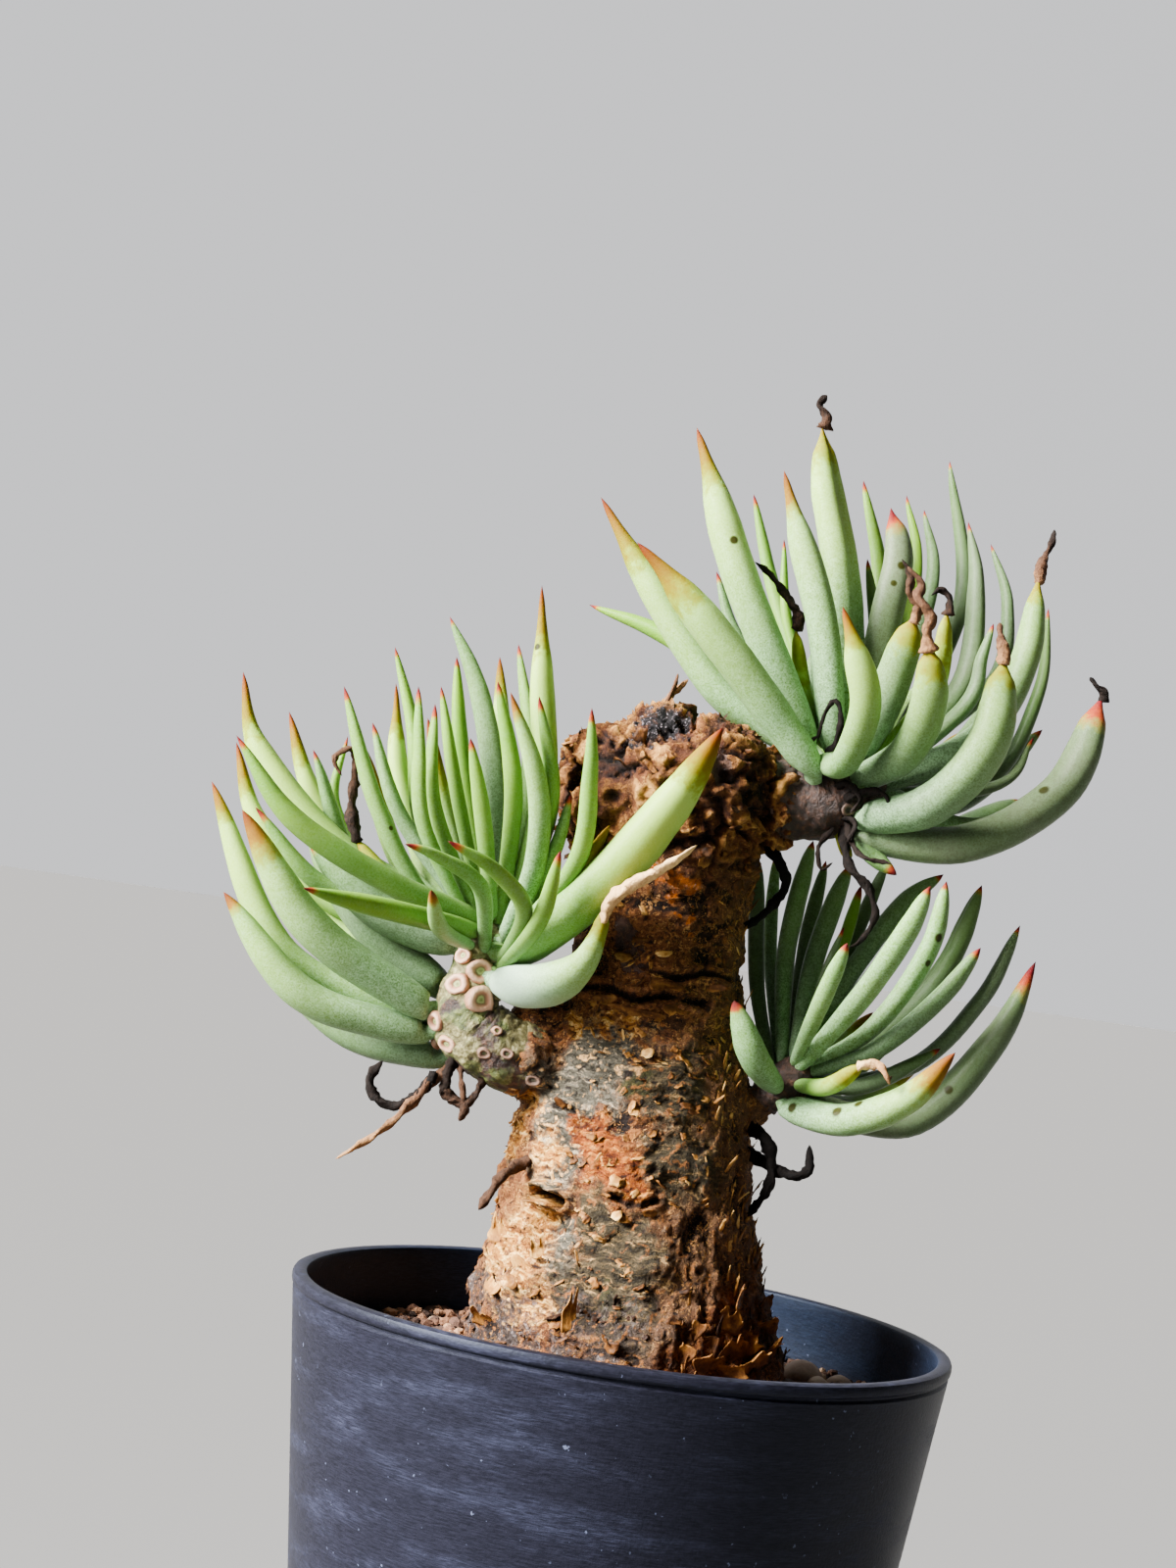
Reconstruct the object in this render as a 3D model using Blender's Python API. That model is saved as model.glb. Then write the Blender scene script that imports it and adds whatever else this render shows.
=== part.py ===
"""A potted tylecodon: a caudex with three short branches and three heads of finger-like leaves.

Lengths are in millimetres until a mesh is made, which is in metres. The origin is the middle of
the pot's underside, +Z is up and the plant is seen along +Y, so -Y is its front.
"""
import math
import random

import bmesh
import bpy
from mathutils import Matrix, Vector, noise

METRE = 0.001
CLEARANCE = 0.3
SLIVER = 0.002
GOLDEN_ANGLE = math.radians(137.508)

# The pot
RIM_RADIUS = 67.5
POT_HEIGHT = 115.0
WALL_TAPER = math.radians(7.4)
WALL = 1.5
LIP_WIDTH = 3.0
LIP_HEIGHT = 2.4
LIP_GROOVE = 0.6
FLOOR = 2.0
RECESS_HEIGHT = 1.5
FOOT_WIDTH = 5.0
CENTRE_PAD = 18.0
DRAIN_RADIUS = 5.0
DRAIN_RING = 32.0
DRAIN_COUNT = 6
POT_SIDES = 40

# The growing medium
SOIL_LEVEL = 101.0
SOIL_GRAIN = 1.3
SOIL_RINGS = 6
PEBBLE_COUNT = 16

# The plant is drawn as one sees it from the front: each point is given by how far right of and
# above the middle of the view it shows on a sheet held at SHEET, and by its real depth along Y.
EYE = Vector((-21.9, -487.9, 189.6))
SHEET = 481.0
SIGHT_RIGHT = Vector((0.99012, -0.00880, 0.13993))
SIGHT_UP = Vector((-0.14021, -0.06217, 0.98817))
SIGHT_AHEAD = Vector((0.0, 0.99803, 0.06279))

# Bark
TRUNK_SIDES = 20
TRUNK_DEPTH_RATIO = 0.9
BARK_ROUGHNESS = 0.9
FLAKE_COUNT = 66
FLAKES_FROM = 0.2
FLAKES_TO = 0.76
FLAKE_THICKNESS = 0.7

# Leaves
LEAF_THICKNESS_RATIO = 0.86
SLIM_LEAF = 4.2

# A leaf's fullness at shares of its length. A dry leaf ends in a blunt body with a withered thread.
FULLNESS = {
    "full": [(0.05, 0.82), (0.22, 1.0), (0.5, 0.97), (0.76, 0.72), (0.92, 0.36)],
    "slim": [(0.08, 0.9), (0.4, 1.0), (0.72, 0.78), (0.91, 0.4)],
    "dry": [(0.05, 0.82), (0.22, 1.0), (0.55, 1.0), (0.78, 0.84), (0.88, 0.3)],
    "far": [(0.06, 0.84), (0.25, 1.0), (0.58, 0.93), (0.84, 0.56)],
}


def sight(right, above, depth):
    """The place at a depth that shows this far right of and above the middle of the view."""
    ray = SIGHT_AHEAD * SHEET + SIGHT_RIGHT * right + SIGHT_UP * above
    return EYE + ray * ((depth - EYE.y) / ray.y)


def smooth_path(points, count):
    """Points evenly spaced in number along a smooth curve through the given ones."""
    ends = [points[0] * 2 - points[1]] + points + [points[-1] * 2 - points[-2]]
    curve = []
    for step in range(count):
        place = step / (count - 1) * (len(points) - 1)
        index = min(int(place), len(points) - 2)
        t = place - index
        a, b, c, d = ends[index:index + 4]
        bend = a * -1 + b * 3 - c * 3 + d
        curve.append(b + ((c - a) * t + (a * 2 - b * 5 + c * 4 - d) * t * t + bend * t ** 3) / 2)
    return curve


def along(curve, share):
    """The point at a share of a sampled curve's length."""
    lengths = [0.0]
    for start, end in zip(curve, curve[1:]):
        lengths.append(lengths[-1] + (end - start).length)
    wanted = share * lengths[-1]
    for index in range(1, len(curve)):
        if wanted <= lengths[index]:
            step = lengths[index] - lengths[index - 1]
            return curve[index - 1].lerp(curve[index], (wanted - lengths[index - 1]) / step)
    return curve[-1].copy()


def new_object(name, mesh_data, colour, roughness):
    """An object for a bmesh in millimetres, with its own plain material."""
    bmesh.ops.recalc_face_normals(mesh_data, faces=mesh_data.faces)
    bmesh.ops.scale(mesh_data, vec=(METRE, METRE, METRE), verts=mesh_data.verts)
    mesh = bpy.data.meshes.new(name)
    mesh_data.to_mesh(mesh)
    mesh_data.free()
    item = bpy.data.objects.new(name, mesh)
    bpy.context.scene.collection.objects.link(item)
    material = bpy.data.materials.new(name)
    material.use_nodes = True
    shader = material.node_tree.nodes["Principled BSDF"]
    shader.inputs["Base Color"].default_value = (*colour, 1.0)
    shader.inputs["Roughness"].default_value = roughness
    mesh.materials.append(material)
    return item


def add_rings(mesh_data, rings, last_cap=True):
    """Faces between rings of points with the same number of points, and flat caps."""
    rows = [[mesh_data.verts.new(point) for point in ring] for ring in rings]
    for low, high in zip(rows, rows[1:]):
        for index in range(len(low)):
            after = (index + 1) % len(low)
            mesh_data.faces.new((low[index], low[after], high[after], high[index]))
    mesh_data.faces.new(reversed(rows[0]))
    if last_cap:
        mesh_data.faces.new(rows[-1])
    return rows


def turned(profile, sides):
    """A closed profile of (radius, height) points turned round the Z axis."""
    mesh_data = bmesh.new()
    rows = []
    for radius, height in profile:
        ring = []
        for index in range(sides):
            angle = math.tau * index / sides
            point = Vector((radius * math.cos(angle), radius * math.sin(angle), height))
            ring.append(mesh_data.verts.new(point))
        rows.append(ring)
    for low, high in zip(rows, rows[1:]):
        for index in range(sides):
            after = (index + 1) % sides
            mesh_data.faces.new((low[index], low[after], high[after], high[index]))
    mesh_data.faces.new(rows[0])
    mesh_data.faces.new(rows[-1])
    return mesh_data


def add_limb(mesh_data, curve, radii, sides, facing, thickness=1.0):
    """A solid round limb along a curve: a ring at each point, or a point where the radius is 0."""
    rings = []
    tip = None
    for index, (centre, radius) in enumerate(zip(curve, radii)):
        before = curve[max(index - 1, 0)]
        after = curve[min(index + 1, len(curve) - 1)]
        ahead = (after - before).normalized()
        side = ahead.cross(facing).normalized()
        front = side.cross(ahead)
        if radius == 0:
            tip = centre
            continue
        ring = []
        for corner in range(sides):
            angle = math.tau * (corner + 0.5) / sides
            across = side * (radius * math.cos(angle))
            ring.append(centre + across + front * (radius * thickness * math.sin(angle)))
        rings.append(ring)
    rows = add_rings(mesh_data, rings, last_cap=tip is None)
    if tip is not None:
        point = mesh_data.verts.new(tip)
        for index in range(sides):
            mesh_data.faces.new((rows[-1][index], rows[-1][(index + 1) % sides], point))


def keep_main_body(mesh):
    """Fill the small hollows that fusing seals and drop loose scraps: only the largest skin stays."""
    mesh_data = bmesh.new()
    mesh_data.from_mesh(mesh)
    waiting = set(mesh_data.faces)
    skins = []
    while waiting:
        skin = [waiting.pop()]
        for face in skin:
            for edge in face.edges:
                for other in edge.link_faces:
                    if other in waiting:
                        waiting.remove(other)
                        skin.append(other)
        skins.append(skin)
    skins.sort(key=len)
    for skin in skins[:-1]:
        bmesh.ops.delete(mesh_data, geom=skin, context="FACES")
    bmesh.ops.dissolve_degenerate(mesh_data, edges=mesh_data.edges, dist=SLIVER * METRE)
    mesh_data.to_mesh(mesh)
    mesh_data.free()


def union(body, parts):
    """Fuse the parts into the body with one Boolean, and remove them."""
    group = bpy.data.collections.new(body.name + "_parts")
    bpy.context.scene.collection.children.link(group)
    for part in parts:
        bpy.context.scene.collection.objects.unlink(part)
        group.objects.link(part)
    boolean = body.modifiers.new("fuse", "BOOLEAN")
    boolean.operation = "UNION"
    boolean.operand_type = "COLLECTION"
    boolean.solver = "MANIFOLD"
    boolean.collection = group
    bpy.context.view_layer.update()
    graph = bpy.context.evaluated_depsgraph_get()
    fused = bpy.data.meshes.new_from_object(body.evaluated_get(graph))
    body.modifiers.clear()
    keep_main_body(fused)
    body.data = fused
    for part in parts:
        bpy.data.objects.remove(part)
    bpy.data.collections.remove(group)


def cut(body, cutter):
    """Cut one solid from another with a Boolean, and remove the cutter."""
    cutter.hide_render = True
    cutter.display_type = "WIRE"
    boolean = body.modifiers.new("cut", "BOOLEAN")
    boolean.operation = "DIFFERENCE"
    boolean.object = cutter
    bpy.context.view_layer.update()
    graph = bpy.context.evaluated_depsgraph_get()
    result = bpy.data.meshes.new_from_object(body.evaluated_get(graph))
    body.modifiers.clear()
    body.data = result
    bpy.data.objects.remove(cutter)


def wall_radius(height):
    """The pot's outer radius under its lip."""
    return RIM_RADIUS - (POT_HEIGHT - height) * math.tan(WALL_TAPER)


def make_pot():
    """The pot: tapered wall, rolled lip over a fine groove, and drain holes in a recess of its base."""
    foot = wall_radius(0)
    lip_foot = POT_HEIGHT - LIP_HEIGHT
    inner_floor = RECESS_HEIGHT + FLOOR
    profile = [
        (CENTRE_PAD, 0),
        (CENTRE_PAD + 1, RECESS_HEIGHT),
        (foot - FOOT_WIDTH, RECESS_HEIGHT),
        (foot - FOOT_WIDTH + 0.5, 0),
        (foot - 0.6, 0),
        (foot, 0.8),
        (wall_radius(POT_HEIGHT * 0.5), POT_HEIGHT * 0.5),
        (wall_radius(lip_foot) - LIP_GROOVE, lip_foot - 0.5),
        (RIM_RADIUS - 0.5, lip_foot),
        (RIM_RADIUS, lip_foot + 0.6),
        (RIM_RADIUS, POT_HEIGHT - 0.9),
        (RIM_RADIUS - 0.9, POT_HEIGHT),
        (RIM_RADIUS - LIP_WIDTH + 0.8, POT_HEIGHT),
        (RIM_RADIUS - LIP_WIDTH, POT_HEIGHT - 0.8),
        (wall_radius(lip_foot) - WALL - LIP_GROOVE, lip_foot - 1.2),
        (wall_radius(inner_floor) - WALL, inner_floor),
        (CENTRE_PAD, inner_floor),
    ]
    pot = new_object("pot", turned(profile, POT_SIDES), (0.012, 0.012, 0.014), 0.55)
    for index in range(DRAIN_COUNT):
        angle = math.tau * (index + 0.3) / DRAIN_COUNT
        place = Vector((DRAIN_RING * math.cos(angle), DRAIN_RING * math.sin(angle), RECESS_HEIGHT))
        drill = bmesh.new()
        bmesh.ops.create_cone(
            drill,
            cap_ends=True,
            segments=10,
            radius1=DRAIN_RADIUS,
            radius2=DRAIN_RADIUS,
            depth=FLOOR * 4,
            matrix=Matrix.Translation(place),
        )
        cut(pot, new_object("drill", drill, (0, 0, 0), 1))
    return pot


# The trunk's outline: height in the view, then its left and right edges there.
TRUNK_OUTLINE = [
    (-134, -16, 32),
    (-127, -23, 38),
    (-119, -26, 39.5),
    (-110, -25.2, 37.6),
    (-100, -23, 34.6),
    (-90, -20, 33.8),
    (-80, -17.4, 33.4),
    (-70, -15.8, 33),
    (-60, -12, 32.6),
    (-52, -8.8, 32.2),
    (-42, -5.2, 32),
    (-31, -2.4, 32.2),
    (-20, -2.6, 34),
    (-10, -4, 37),
    (-2, -6.4, 39.6),
    (4, -6.6, 39.4),
    (8.5, -3, 34),
    (11.5, 6, 27),
    (13.5, 12, 23),
]


def bark(share, angle, lift=0.0):
    """A point of the trunk's surface at a share of its height, with its uneven bark."""
    place = share * (len(TRUNK_OUTLINE) - 1)
    index = min(int(place), len(TRUNK_OUTLINE) - 2)
    t = place - index
    low, high = TRUNK_OUTLINE[index:index + 2]
    above, left, right = [a + (b - a) * t for a, b in zip(low, high)]
    half = (right - left) / 2
    centre = sight((left + right) / 2, above, 0)
    out = SIGHT_RIGHT * math.cos(angle) + SIGHT_AHEAD * (TRUNK_DEPTH_RATIO * math.sin(angle))
    seed = centre + out * half
    folds = noise.noise(seed * 0.09) + 0.6 * noise.noise(seed * 0.24)
    crown = min(max((share - 0.68) * 6, 0), 1)
    buried = min(max((share - 0.1) * 8, 0), 1)
    relief = folds * BARK_ROUGHNESS * (1 + 1.6 * crown) * buried
    return centre + out * (half + relief + lift)


def trunk_rings(lift=0.0, first=0.0, last=1.0, count=23):
    """Rings of the trunk's surface between two shares of its height."""
    rings = []
    for step in range(count):
        share = first + (last - first) * step / (count - 1)
        ring = [bark(share, math.tau * n / TRUNK_SIDES, lift) for n in range(TRUNK_SIDES)]
        rings.append(ring)
    return rings


# Branches and burls: points as (right, above, depth), each with a radius.
BRANCHES = [
    [((-3, -58, -2), 11), ((-8, -57, -4.5), 9.6), ((-13.6, -55.6, -7), 8.2)],
    [((29, -2, -2), 10.5), ((35, -2.4, -2.4), 10), ((39.4, -3, -3), 9.0)],
    [((27, -70, -2), 5.4), ((32, -67, -3), 4.4), ((36.4, -63.8, -4), 3.4)],
]
BURLS = [
    ((4.5, 4, -10), 7.0),
    ((15, 7.5, -8), 8.0),
    ((27, 5, -10), 8.0),
    ((30, -2, -10), 6.8),
    ((1.5, -4, -11), 6.5),
    ((12, 6, 9), 8.0),
    ((27, 5, 9), 7.5),
    ((3, 0, 9), 7.0),
]

# Dry twigs: points as (right, above, depth), and the twig's width.
TRUNK_TWIGS = [
    (1.6, [(-9, -75, -8), (-17, -79.5, -18), (-19.6, -83, -21), (-22.4, -87, -22)]),
    (1.9, [(31, -74, -3), (35, -76.5, -6), (40, -78.4, -9), (44, -79.2, -10), (45, -74, -10)]),
    (1.7, [(32, -70, -4), (36.5, -74, -8), (37, -80, -9), (34, -86, -8)]),
    (1.8, [(36, -12, -3), (39.6, -17, -5), (39.8, -22, -5), (33, -28, -4), (29, -30, -4)]),
    (1.4, [(13, 12, -2), (16, 17, -3), (20.5, 21.4, -3)]),
]


def make_flake(share, angle, length, width, turn, curl):
    """A thin sheet of bark, its root sunk in the trunk and its free end curling out."""
    foot = bark(share, angle)
    out = (bark(share, angle, 1.0) - foot).normalized()
    up = (bark(min(share + 0.02, 1), angle) - foot).normalized()
    around = out.cross(up).normalized()
    ahead = up * math.cos(turn) + around * math.sin(turn)
    across = out.cross(ahead).normalized() * (width / 2)
    stations = [
        foot - ahead * (length * 0.25) - out * 1.5,
        foot + ahead * (length * 0.45) + out * 0.4,
        foot + ahead * length + out * curl,
    ]
    widths = [1.0, 1.1, 0.5]
    rings = []
    for index, (centre, share_of_width) in enumerate(zip(stations, widths)):
        before = stations[max(index - 1, 0)]
        after = stations[min(index + 1, 2)]
        normal = (after - before).cross(across).normalized() * (FLAKE_THICKNESS / 2)
        side = across * share_of_width
        rings.append([centre - side - normal, centre + side - normal,
                      centre + side + normal, centre - side + normal])
    mesh_data = bmesh.new()
    add_rings(mesh_data, rings)
    return new_object("flake", mesh_data, (0.5, 0.3, 0.1), 0.8)


def make_limb(points, width, sides=5, samples=6, end_share=0.5):
    """A dry twig through points given as (right, above, depth)."""
    curve = smooth_path([sight(*point) for point in points], samples)
    radii = []
    for index in range(samples):
        radii.append(width / 2 * (1 - (1 - end_share) * index / (samples - 1)))
    mesh_data = bmesh.new()
    add_limb(mesh_data, curve, radii, sides, Vector((0.3, -1, 0.2)).normalized())
    return new_object("twig", mesh_data, (0.1, 0.07, 0.05), 0.9)


def make_trunk():
    """The caudex with its branches, burls, peeling flakes and dry twigs as one solid."""
    mesh_data = bmesh.new()
    add_rings(mesh_data, trunk_rings())
    trunk = new_object("trunk", mesh_data, (0.32, 0.2, 0.11), 0.85)
    parts = []
    for points in BRANCHES:
        limb = bmesh.new()
        curve = [sight(*point) for point, radius in points]
        radii = [radius for point, radius in points]
        add_limb(limb, curve, radii, 11, Vector((0, -1, 0)))
        parts.append(new_object("branch", limb, (0.3, 0.25, 0.15), 0.85))
    for place, radius in BURLS:
        burl = bmesh.new()
        bmesh.ops.create_uvsphere(burl, u_segments=8, v_segments=5, radius=radius)
        for vert in burl.verts:
            vert.co *= 1 + 0.16 * noise.noise(vert.co * 0.35 + Vector(place))
            vert.co += sight(*place)
        parts.append(new_object("burl", burl, (0.3, 0.2, 0.1), 0.85))
    draw = random.Random(11)
    for index in range(FLAKE_COUNT):
        share = FLAKES_FROM + (FLAKES_TO - FLAKES_FROM) * (index + 0.5) / FLAKE_COUNT
        angle = index * GOLDEN_ANGLE
        length = draw.uniform(3.0, 5.5)
        width = draw.uniform(2.0, 4.0)
        turn = draw.uniform(-1.9, 1.9)
        curl = draw.uniform(1.0, 2.2)
        parts.append(make_flake(share, angle, length, width, turn, curl))
    for width, points in TRUNK_TWIGS:
        parts.append(make_limb(points, width))
    union(trunk, parts)
    return trunk


def make_soil():
    """The medium: a granular top with pebbles, filling the pot, and a plain hole for the trunk."""
    bottom = RECESS_HEIGHT + FLOOR + CLEARANCE
    inside = WALL + LIP_GROOVE + CLEARANCE
    top_radius = wall_radius(SOIL_LEVEL) - inside
    mesh_data = bmesh.new()
    top = []
    for row in range(SOIL_RINGS, 0, -1):
        ring = []
        for index in range(POT_SIDES):
            angle = math.tau * index / POT_SIDES
            radius = top_radius * row / SOIL_RINGS
            place = Vector((radius * math.cos(angle), radius * math.sin(angle), 0))
            grain = noise.noise(place * 0.21) + 0.7 * noise.noise(place * 0.63)
            place.z = SOIL_LEVEL + grain * SOIL_GRAIN
            ring.append(place)
        top.append(ring)
    low_radius = wall_radius(bottom) - inside
    floor_ring = []
    for index in range(POT_SIDES):
        angle = math.tau * index / POT_SIDES
        floor_ring.append(Vector((low_radius * math.cos(angle), low_radius * math.sin(angle), bottom)))
    add_rings(mesh_data, [floor_ring] + top)
    soil = new_object("soil", mesh_data, (0.2, 0.11, 0.06), 0.95)
    draw = random.Random(5)
    pebbles = []
    for index in range(PEBBLE_COUNT):
        radius = draw.uniform(2.4, 4.4)
        distance = draw.uniform(44, 55)
        angle = index * GOLDEN_ANGLE
        place = Vector((distance * math.cos(angle), distance * math.sin(angle), SOIL_LEVEL + radius * 0.3))
        pebble = bmesh.new()
        bmesh.ops.create_icosphere(pebble, subdivisions=1, radius=radius)
        flat = draw.uniform(0.6, 0.8)
        for vert in pebble.verts:
            vert.co.z *= flat
            vert.co.x *= 1.2
            vert.co = Matrix.Rotation(angle * 3, 3, "Z") @ vert.co + place
        pebbles.append(new_object("pebble", pebble, (0.5, 0.4, 0.3), 0.8))
    union(soil, pebbles)
    hole = bmesh.new()
    rings = trunk_rings(CLEARANCE + 0.2, 0.0, 0.3, 8)
    down = Vector((0, 0, -CLEARANCE - 0.2))
    rings[0] = [point + down for point in rings[0]]
    add_rings(hole, rings)
    cut(soil, new_object("hole", hole, (0, 0, 0), 1))
    return soil


def make_leaf(width, points, centre, form="full"):
    """A finger-like leaf: a narrow root sunk in the stem, a full rounded body, a pointed tip.

    A point is (right, above, depth). The root goes from the first point towards the stem's middle.
    """
    spine = [sight(*point) for point in points]
    root = spine[0].lerp(centre(spine[0]), 0.75)
    sampled = smooth_path(spine, 24)
    root_length = (spine[0] - root).length
    slim = width < SLIM_LEAF
    stations = FULLNESS["slim" if slim else form]
    curve = [root]
    radii = [width * (0.36 if slim else 0.3)]
    if root_length < 1:
        curve = []
        radii = []
    for share, fullness in stations:
        curve.append(along(sampled, share))
        radii.append(width / 2 * fullness * 1.06)
    curve.append(sampled[-1])
    radii.append(0)
    mesh_data = bmesh.new()
    facing = (centre(spine[0]) + Vector((0, 0, 60)) - along(sampled, 0.5)).normalized()
    add_limb(mesh_data, curve, radii, 5 if slim else 6, facing, LEAF_THICKNESS_RATIO)
    return new_object("leaf", mesh_data, (0.4, 0.6, 0.38), 0.5)


def far_leaf(index, head):
    """The points of a leaf on a head's far side, by a rule, as places in space."""
    draw = random.Random(head["seed"] + index)
    axis = Vector(head["axis"]).normalized()
    back = (Vector((0, 1, 0)) - axis * axis.y).normalized()
    side = axis.cross(back)
    first, last = head["far_range"]
    around = first + (last - first) * ((index * 0.618034 + 0.3) % 1)
    tilt = math.radians(26 + head["far_tilt"] * (index + 0.5) / head["far_count"])
    outward = back * math.cos(around) + side * math.sin(around)
    length = head["far_length"] * draw.uniform(0.88, 1.08)
    start = sight(*head["heart"]) + outward * head["far_start"]
    direction = axis * math.cos(tilt) + outward * math.sin(tilt)
    low_tilt = tilt + 0.38
    low = axis * math.cos(low_tilt) + outward * math.sin(low_tilt)
    return [start, start + low * (length * 0.52), start + direction * length]


def make_far_leaf(index, head, centre):
    """A leaf on the side that the view doesn't show, full like the outer leaves in sight."""
    points = far_leaf(index, head)
    inner = 1 - (index + 0.5) / head["far_count"]
    width = head["far_width"] * (1 - 0.42 * inner)
    sampled = smooth_path(points, 24)
    root = points[0].lerp(centre(points[0]), 0.75)
    curve = [root]
    radii = [width * 0.3]
    for share, fullness in FULLNESS["far"]:
        curve.append(along(sampled, share))
        radii.append(width / 2 * fullness * 1.06)
    curve.append(sampled[-1])
    radii.append(0)
    mesh_data = bmesh.new()
    axis = Vector(head["axis"]).normalized()
    add_limb(mesh_data, curve, radii, 6, axis, LEAF_THICKNESS_RATIO)
    return new_object("leaf", mesh_data, (0.4, 0.6, 0.38), 0.5)


LEFT_HEAD = {
    "name": "rosette_left",
    "stem": [((-14, -55.5, -7.2), 8.0), ((-16.8, -54.8, -8.4), 8.0), ((-24.5, -48.5, -9.5), 6.8),
             ((-23, -38, -9.5), 5.4), ((-21, -30, -9), 4.4), ((-20, -26, -9), 2.6)],
    "heart": (-21, -30, -8),
    "axis": (-0.3, -0.1, 0.95),
    "seed": 40,
    "far_count": 11,
    "far_tilt": 46,
    "far_range": (-0.35, 1.5),
    "far_length": 52.0,
    "far_width": 6.8,
    "far_start": 3.0,
    "leaves": [
        (8.0, [(-33.4, -51, -8), (-58, -42.8, -14), (-74.4, -22, -16)]),
        (7.4, [(-29, -56, -4), (-49, -50.5, 3), (-69, -32, 8)]),
        (7.4, [(-33, -48.5, -5), (-62, -34, -6), (-76.8, 0.6, -4)]),
        (9.0, [(-32.6, -46, -10), (-56, -29.4, -20), (-70.6, -5.2, -26)]),
        (4.6, [(-26, -29, -7), (-53, -21.4, -13), (-68, -4.6, -17)]),
        (6.0, [(-23, -27.5, -12), (-40, -20, -24), (-60, -7, -32), (-71.8, 10, -35)]),
        (7.6, [(-25, -28, -6), (-51, -13, -7), (-67, 7, -5), (-70.4, 23, -4)]),
        (6.0, [(-26, -32, -4), (-52, -24, 1), (-67, -8, 5), (-71.8, 8.6, 7)]),
        (5.6, [(-26, -28, 0), (-44, -17, 3), (-56, -2, 6), (-61, 14.8, 9)]),
        (3.0, [(-26, -27, -2), (-43, -18, 0), (-51.6, -4, 3), (-49, 9.8, 5)]),
        (4.0, [(-24, -29, -10), (-34, -22, -14), (-43.2, -4, -17), (-49.8, 20, -17)]),
        (3.8, [(-24, -27, -6), (-38.4, -6, -4), (-44, 12.6, -2)]),
        (4.8, [(-24, -26, -3), (-37.4, -2, 3), (-39.2, 20.6, 7)]),
        (3.6, [(-24, -26, -5), (-34, -8, -1), (-35.6, 11, 2), (-39.4, 28, 4)]),
        (3.4, [(-25, -27, -13), (-33.6, -8, -20), (-34.4, 8, -22), (-34.6, 20, -22)]),
        (3.4, [(-23, -26, -12), (-31.4, -4, -17), (-31.2, 16.4, -17)]),
        (3.4, [(-22, -25, -9), (-27, 0, -12), (-30, 20, -13)]),
        (3.8, [(-21, -24, -6), (-25.6, 4, -4), (-26.8, 26, -2)]),
        (4.6, [(-19.4, -27, -7), (-18.4, -6, -7), (-22, 18, -5), (-28.2, 34.2, -3)]),
        (3.4, [(-19.5, -27, -14), (-21.6, -6, -22), (-24, 9.4, -26)]),
        (4.4, [(-19, -26, -3), (-17.6, 2, 3), (-18, 26, 7)]),
        (3.8, [(-18, -28, -12), (-15.2, -2, -18), (-18.4, 21, -20)]),
        (4.5, [(-17, -32, -13), (-10.8, -16, -21), (-10.4, 0, -25), (-15.8, 18.8, -27)]),
        (3.4, [(-17, -28, -5), (-12, 4, -4), (-14.2, 28.6, -2)]),
        (6.0, [(-16, -30, -9), (-9.4, -4, -16), (-9.4, 21, -15), (-9.4, 40.6, -12)]),
        (3.6, [(-16, -29, -12), (-7.6, -4, -21), (-10, 18, -24)]),
        (3.8, [(-16, -32, -14), (-2.4, -16, -27), (0.4, 2, -31), (0.8, 15.6, -33)]),
        (3.2, [(-15, -30, -13), (-7, -14, -20), (-3.4, -2, -22)]),
        (3.6, [(-18, -38, -15), (-10, -28, -28), (-5.6, -13.6, -34)]),
        (3.8, [(-15, -32, -13), (-2, -18, -24), (4.4, -8.4, -27)]),
        (8.8, [(-16, -33, -15), (2, -18, -27), (17.6, -1.6, -31), (27.6, 11.6, -33)]),
        (9.0, [(-19, -41, -14), (-7, -40.6, -24), (2.4, -31, -28), (9, -19, -27)]),
        (3.4, [(-4, -37, -24), (5, -25, -28), (12, -18, -28), (21, -13.6, -27)]),
        (3.4, [(-21, -34, -13), (-22, -21, -26), (-31, -14.6, -34), (-37.4, -12.2, -38)]),
        (3.4, [(-18, -37, -13), (-13, -26, -28), (-19, -17.6, -36), (-28.6, -11.6, -42)]),
        (5.0, [(-23, -30, -13), (-36, -26.6, -32), (-50, -23.4, -46), (-58.2, -21.2, -54)]),
        (3.6, [(-24, -33, -13), (-30, -29.5, -34), (-32, -21.6, -48)]),
        (6.5, [(-28, -36, -9), (-42, -29, -10), (-55, -18, -8)]),
        (7.5, [(-29, -44, -5), (-43, -37, 0), (-58, -20, 4)]),
    ],
    "twigs": [
        (1.9, [(-24, -53, -9), (-37, -65, -13), (-43, -63, -14), (-44.8, -60, -14), (-42.4, -57.6, -13)]),
        (1.7, [(-23, -54, -9.5), (-37, -66, -16), (-44, -73, -19), (-52, -76.8, -21)]),
        (1.5, [(-22, -54, -10), (-24.4, -64, -14), (-26, -68, -15)]),
    ],
}

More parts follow.
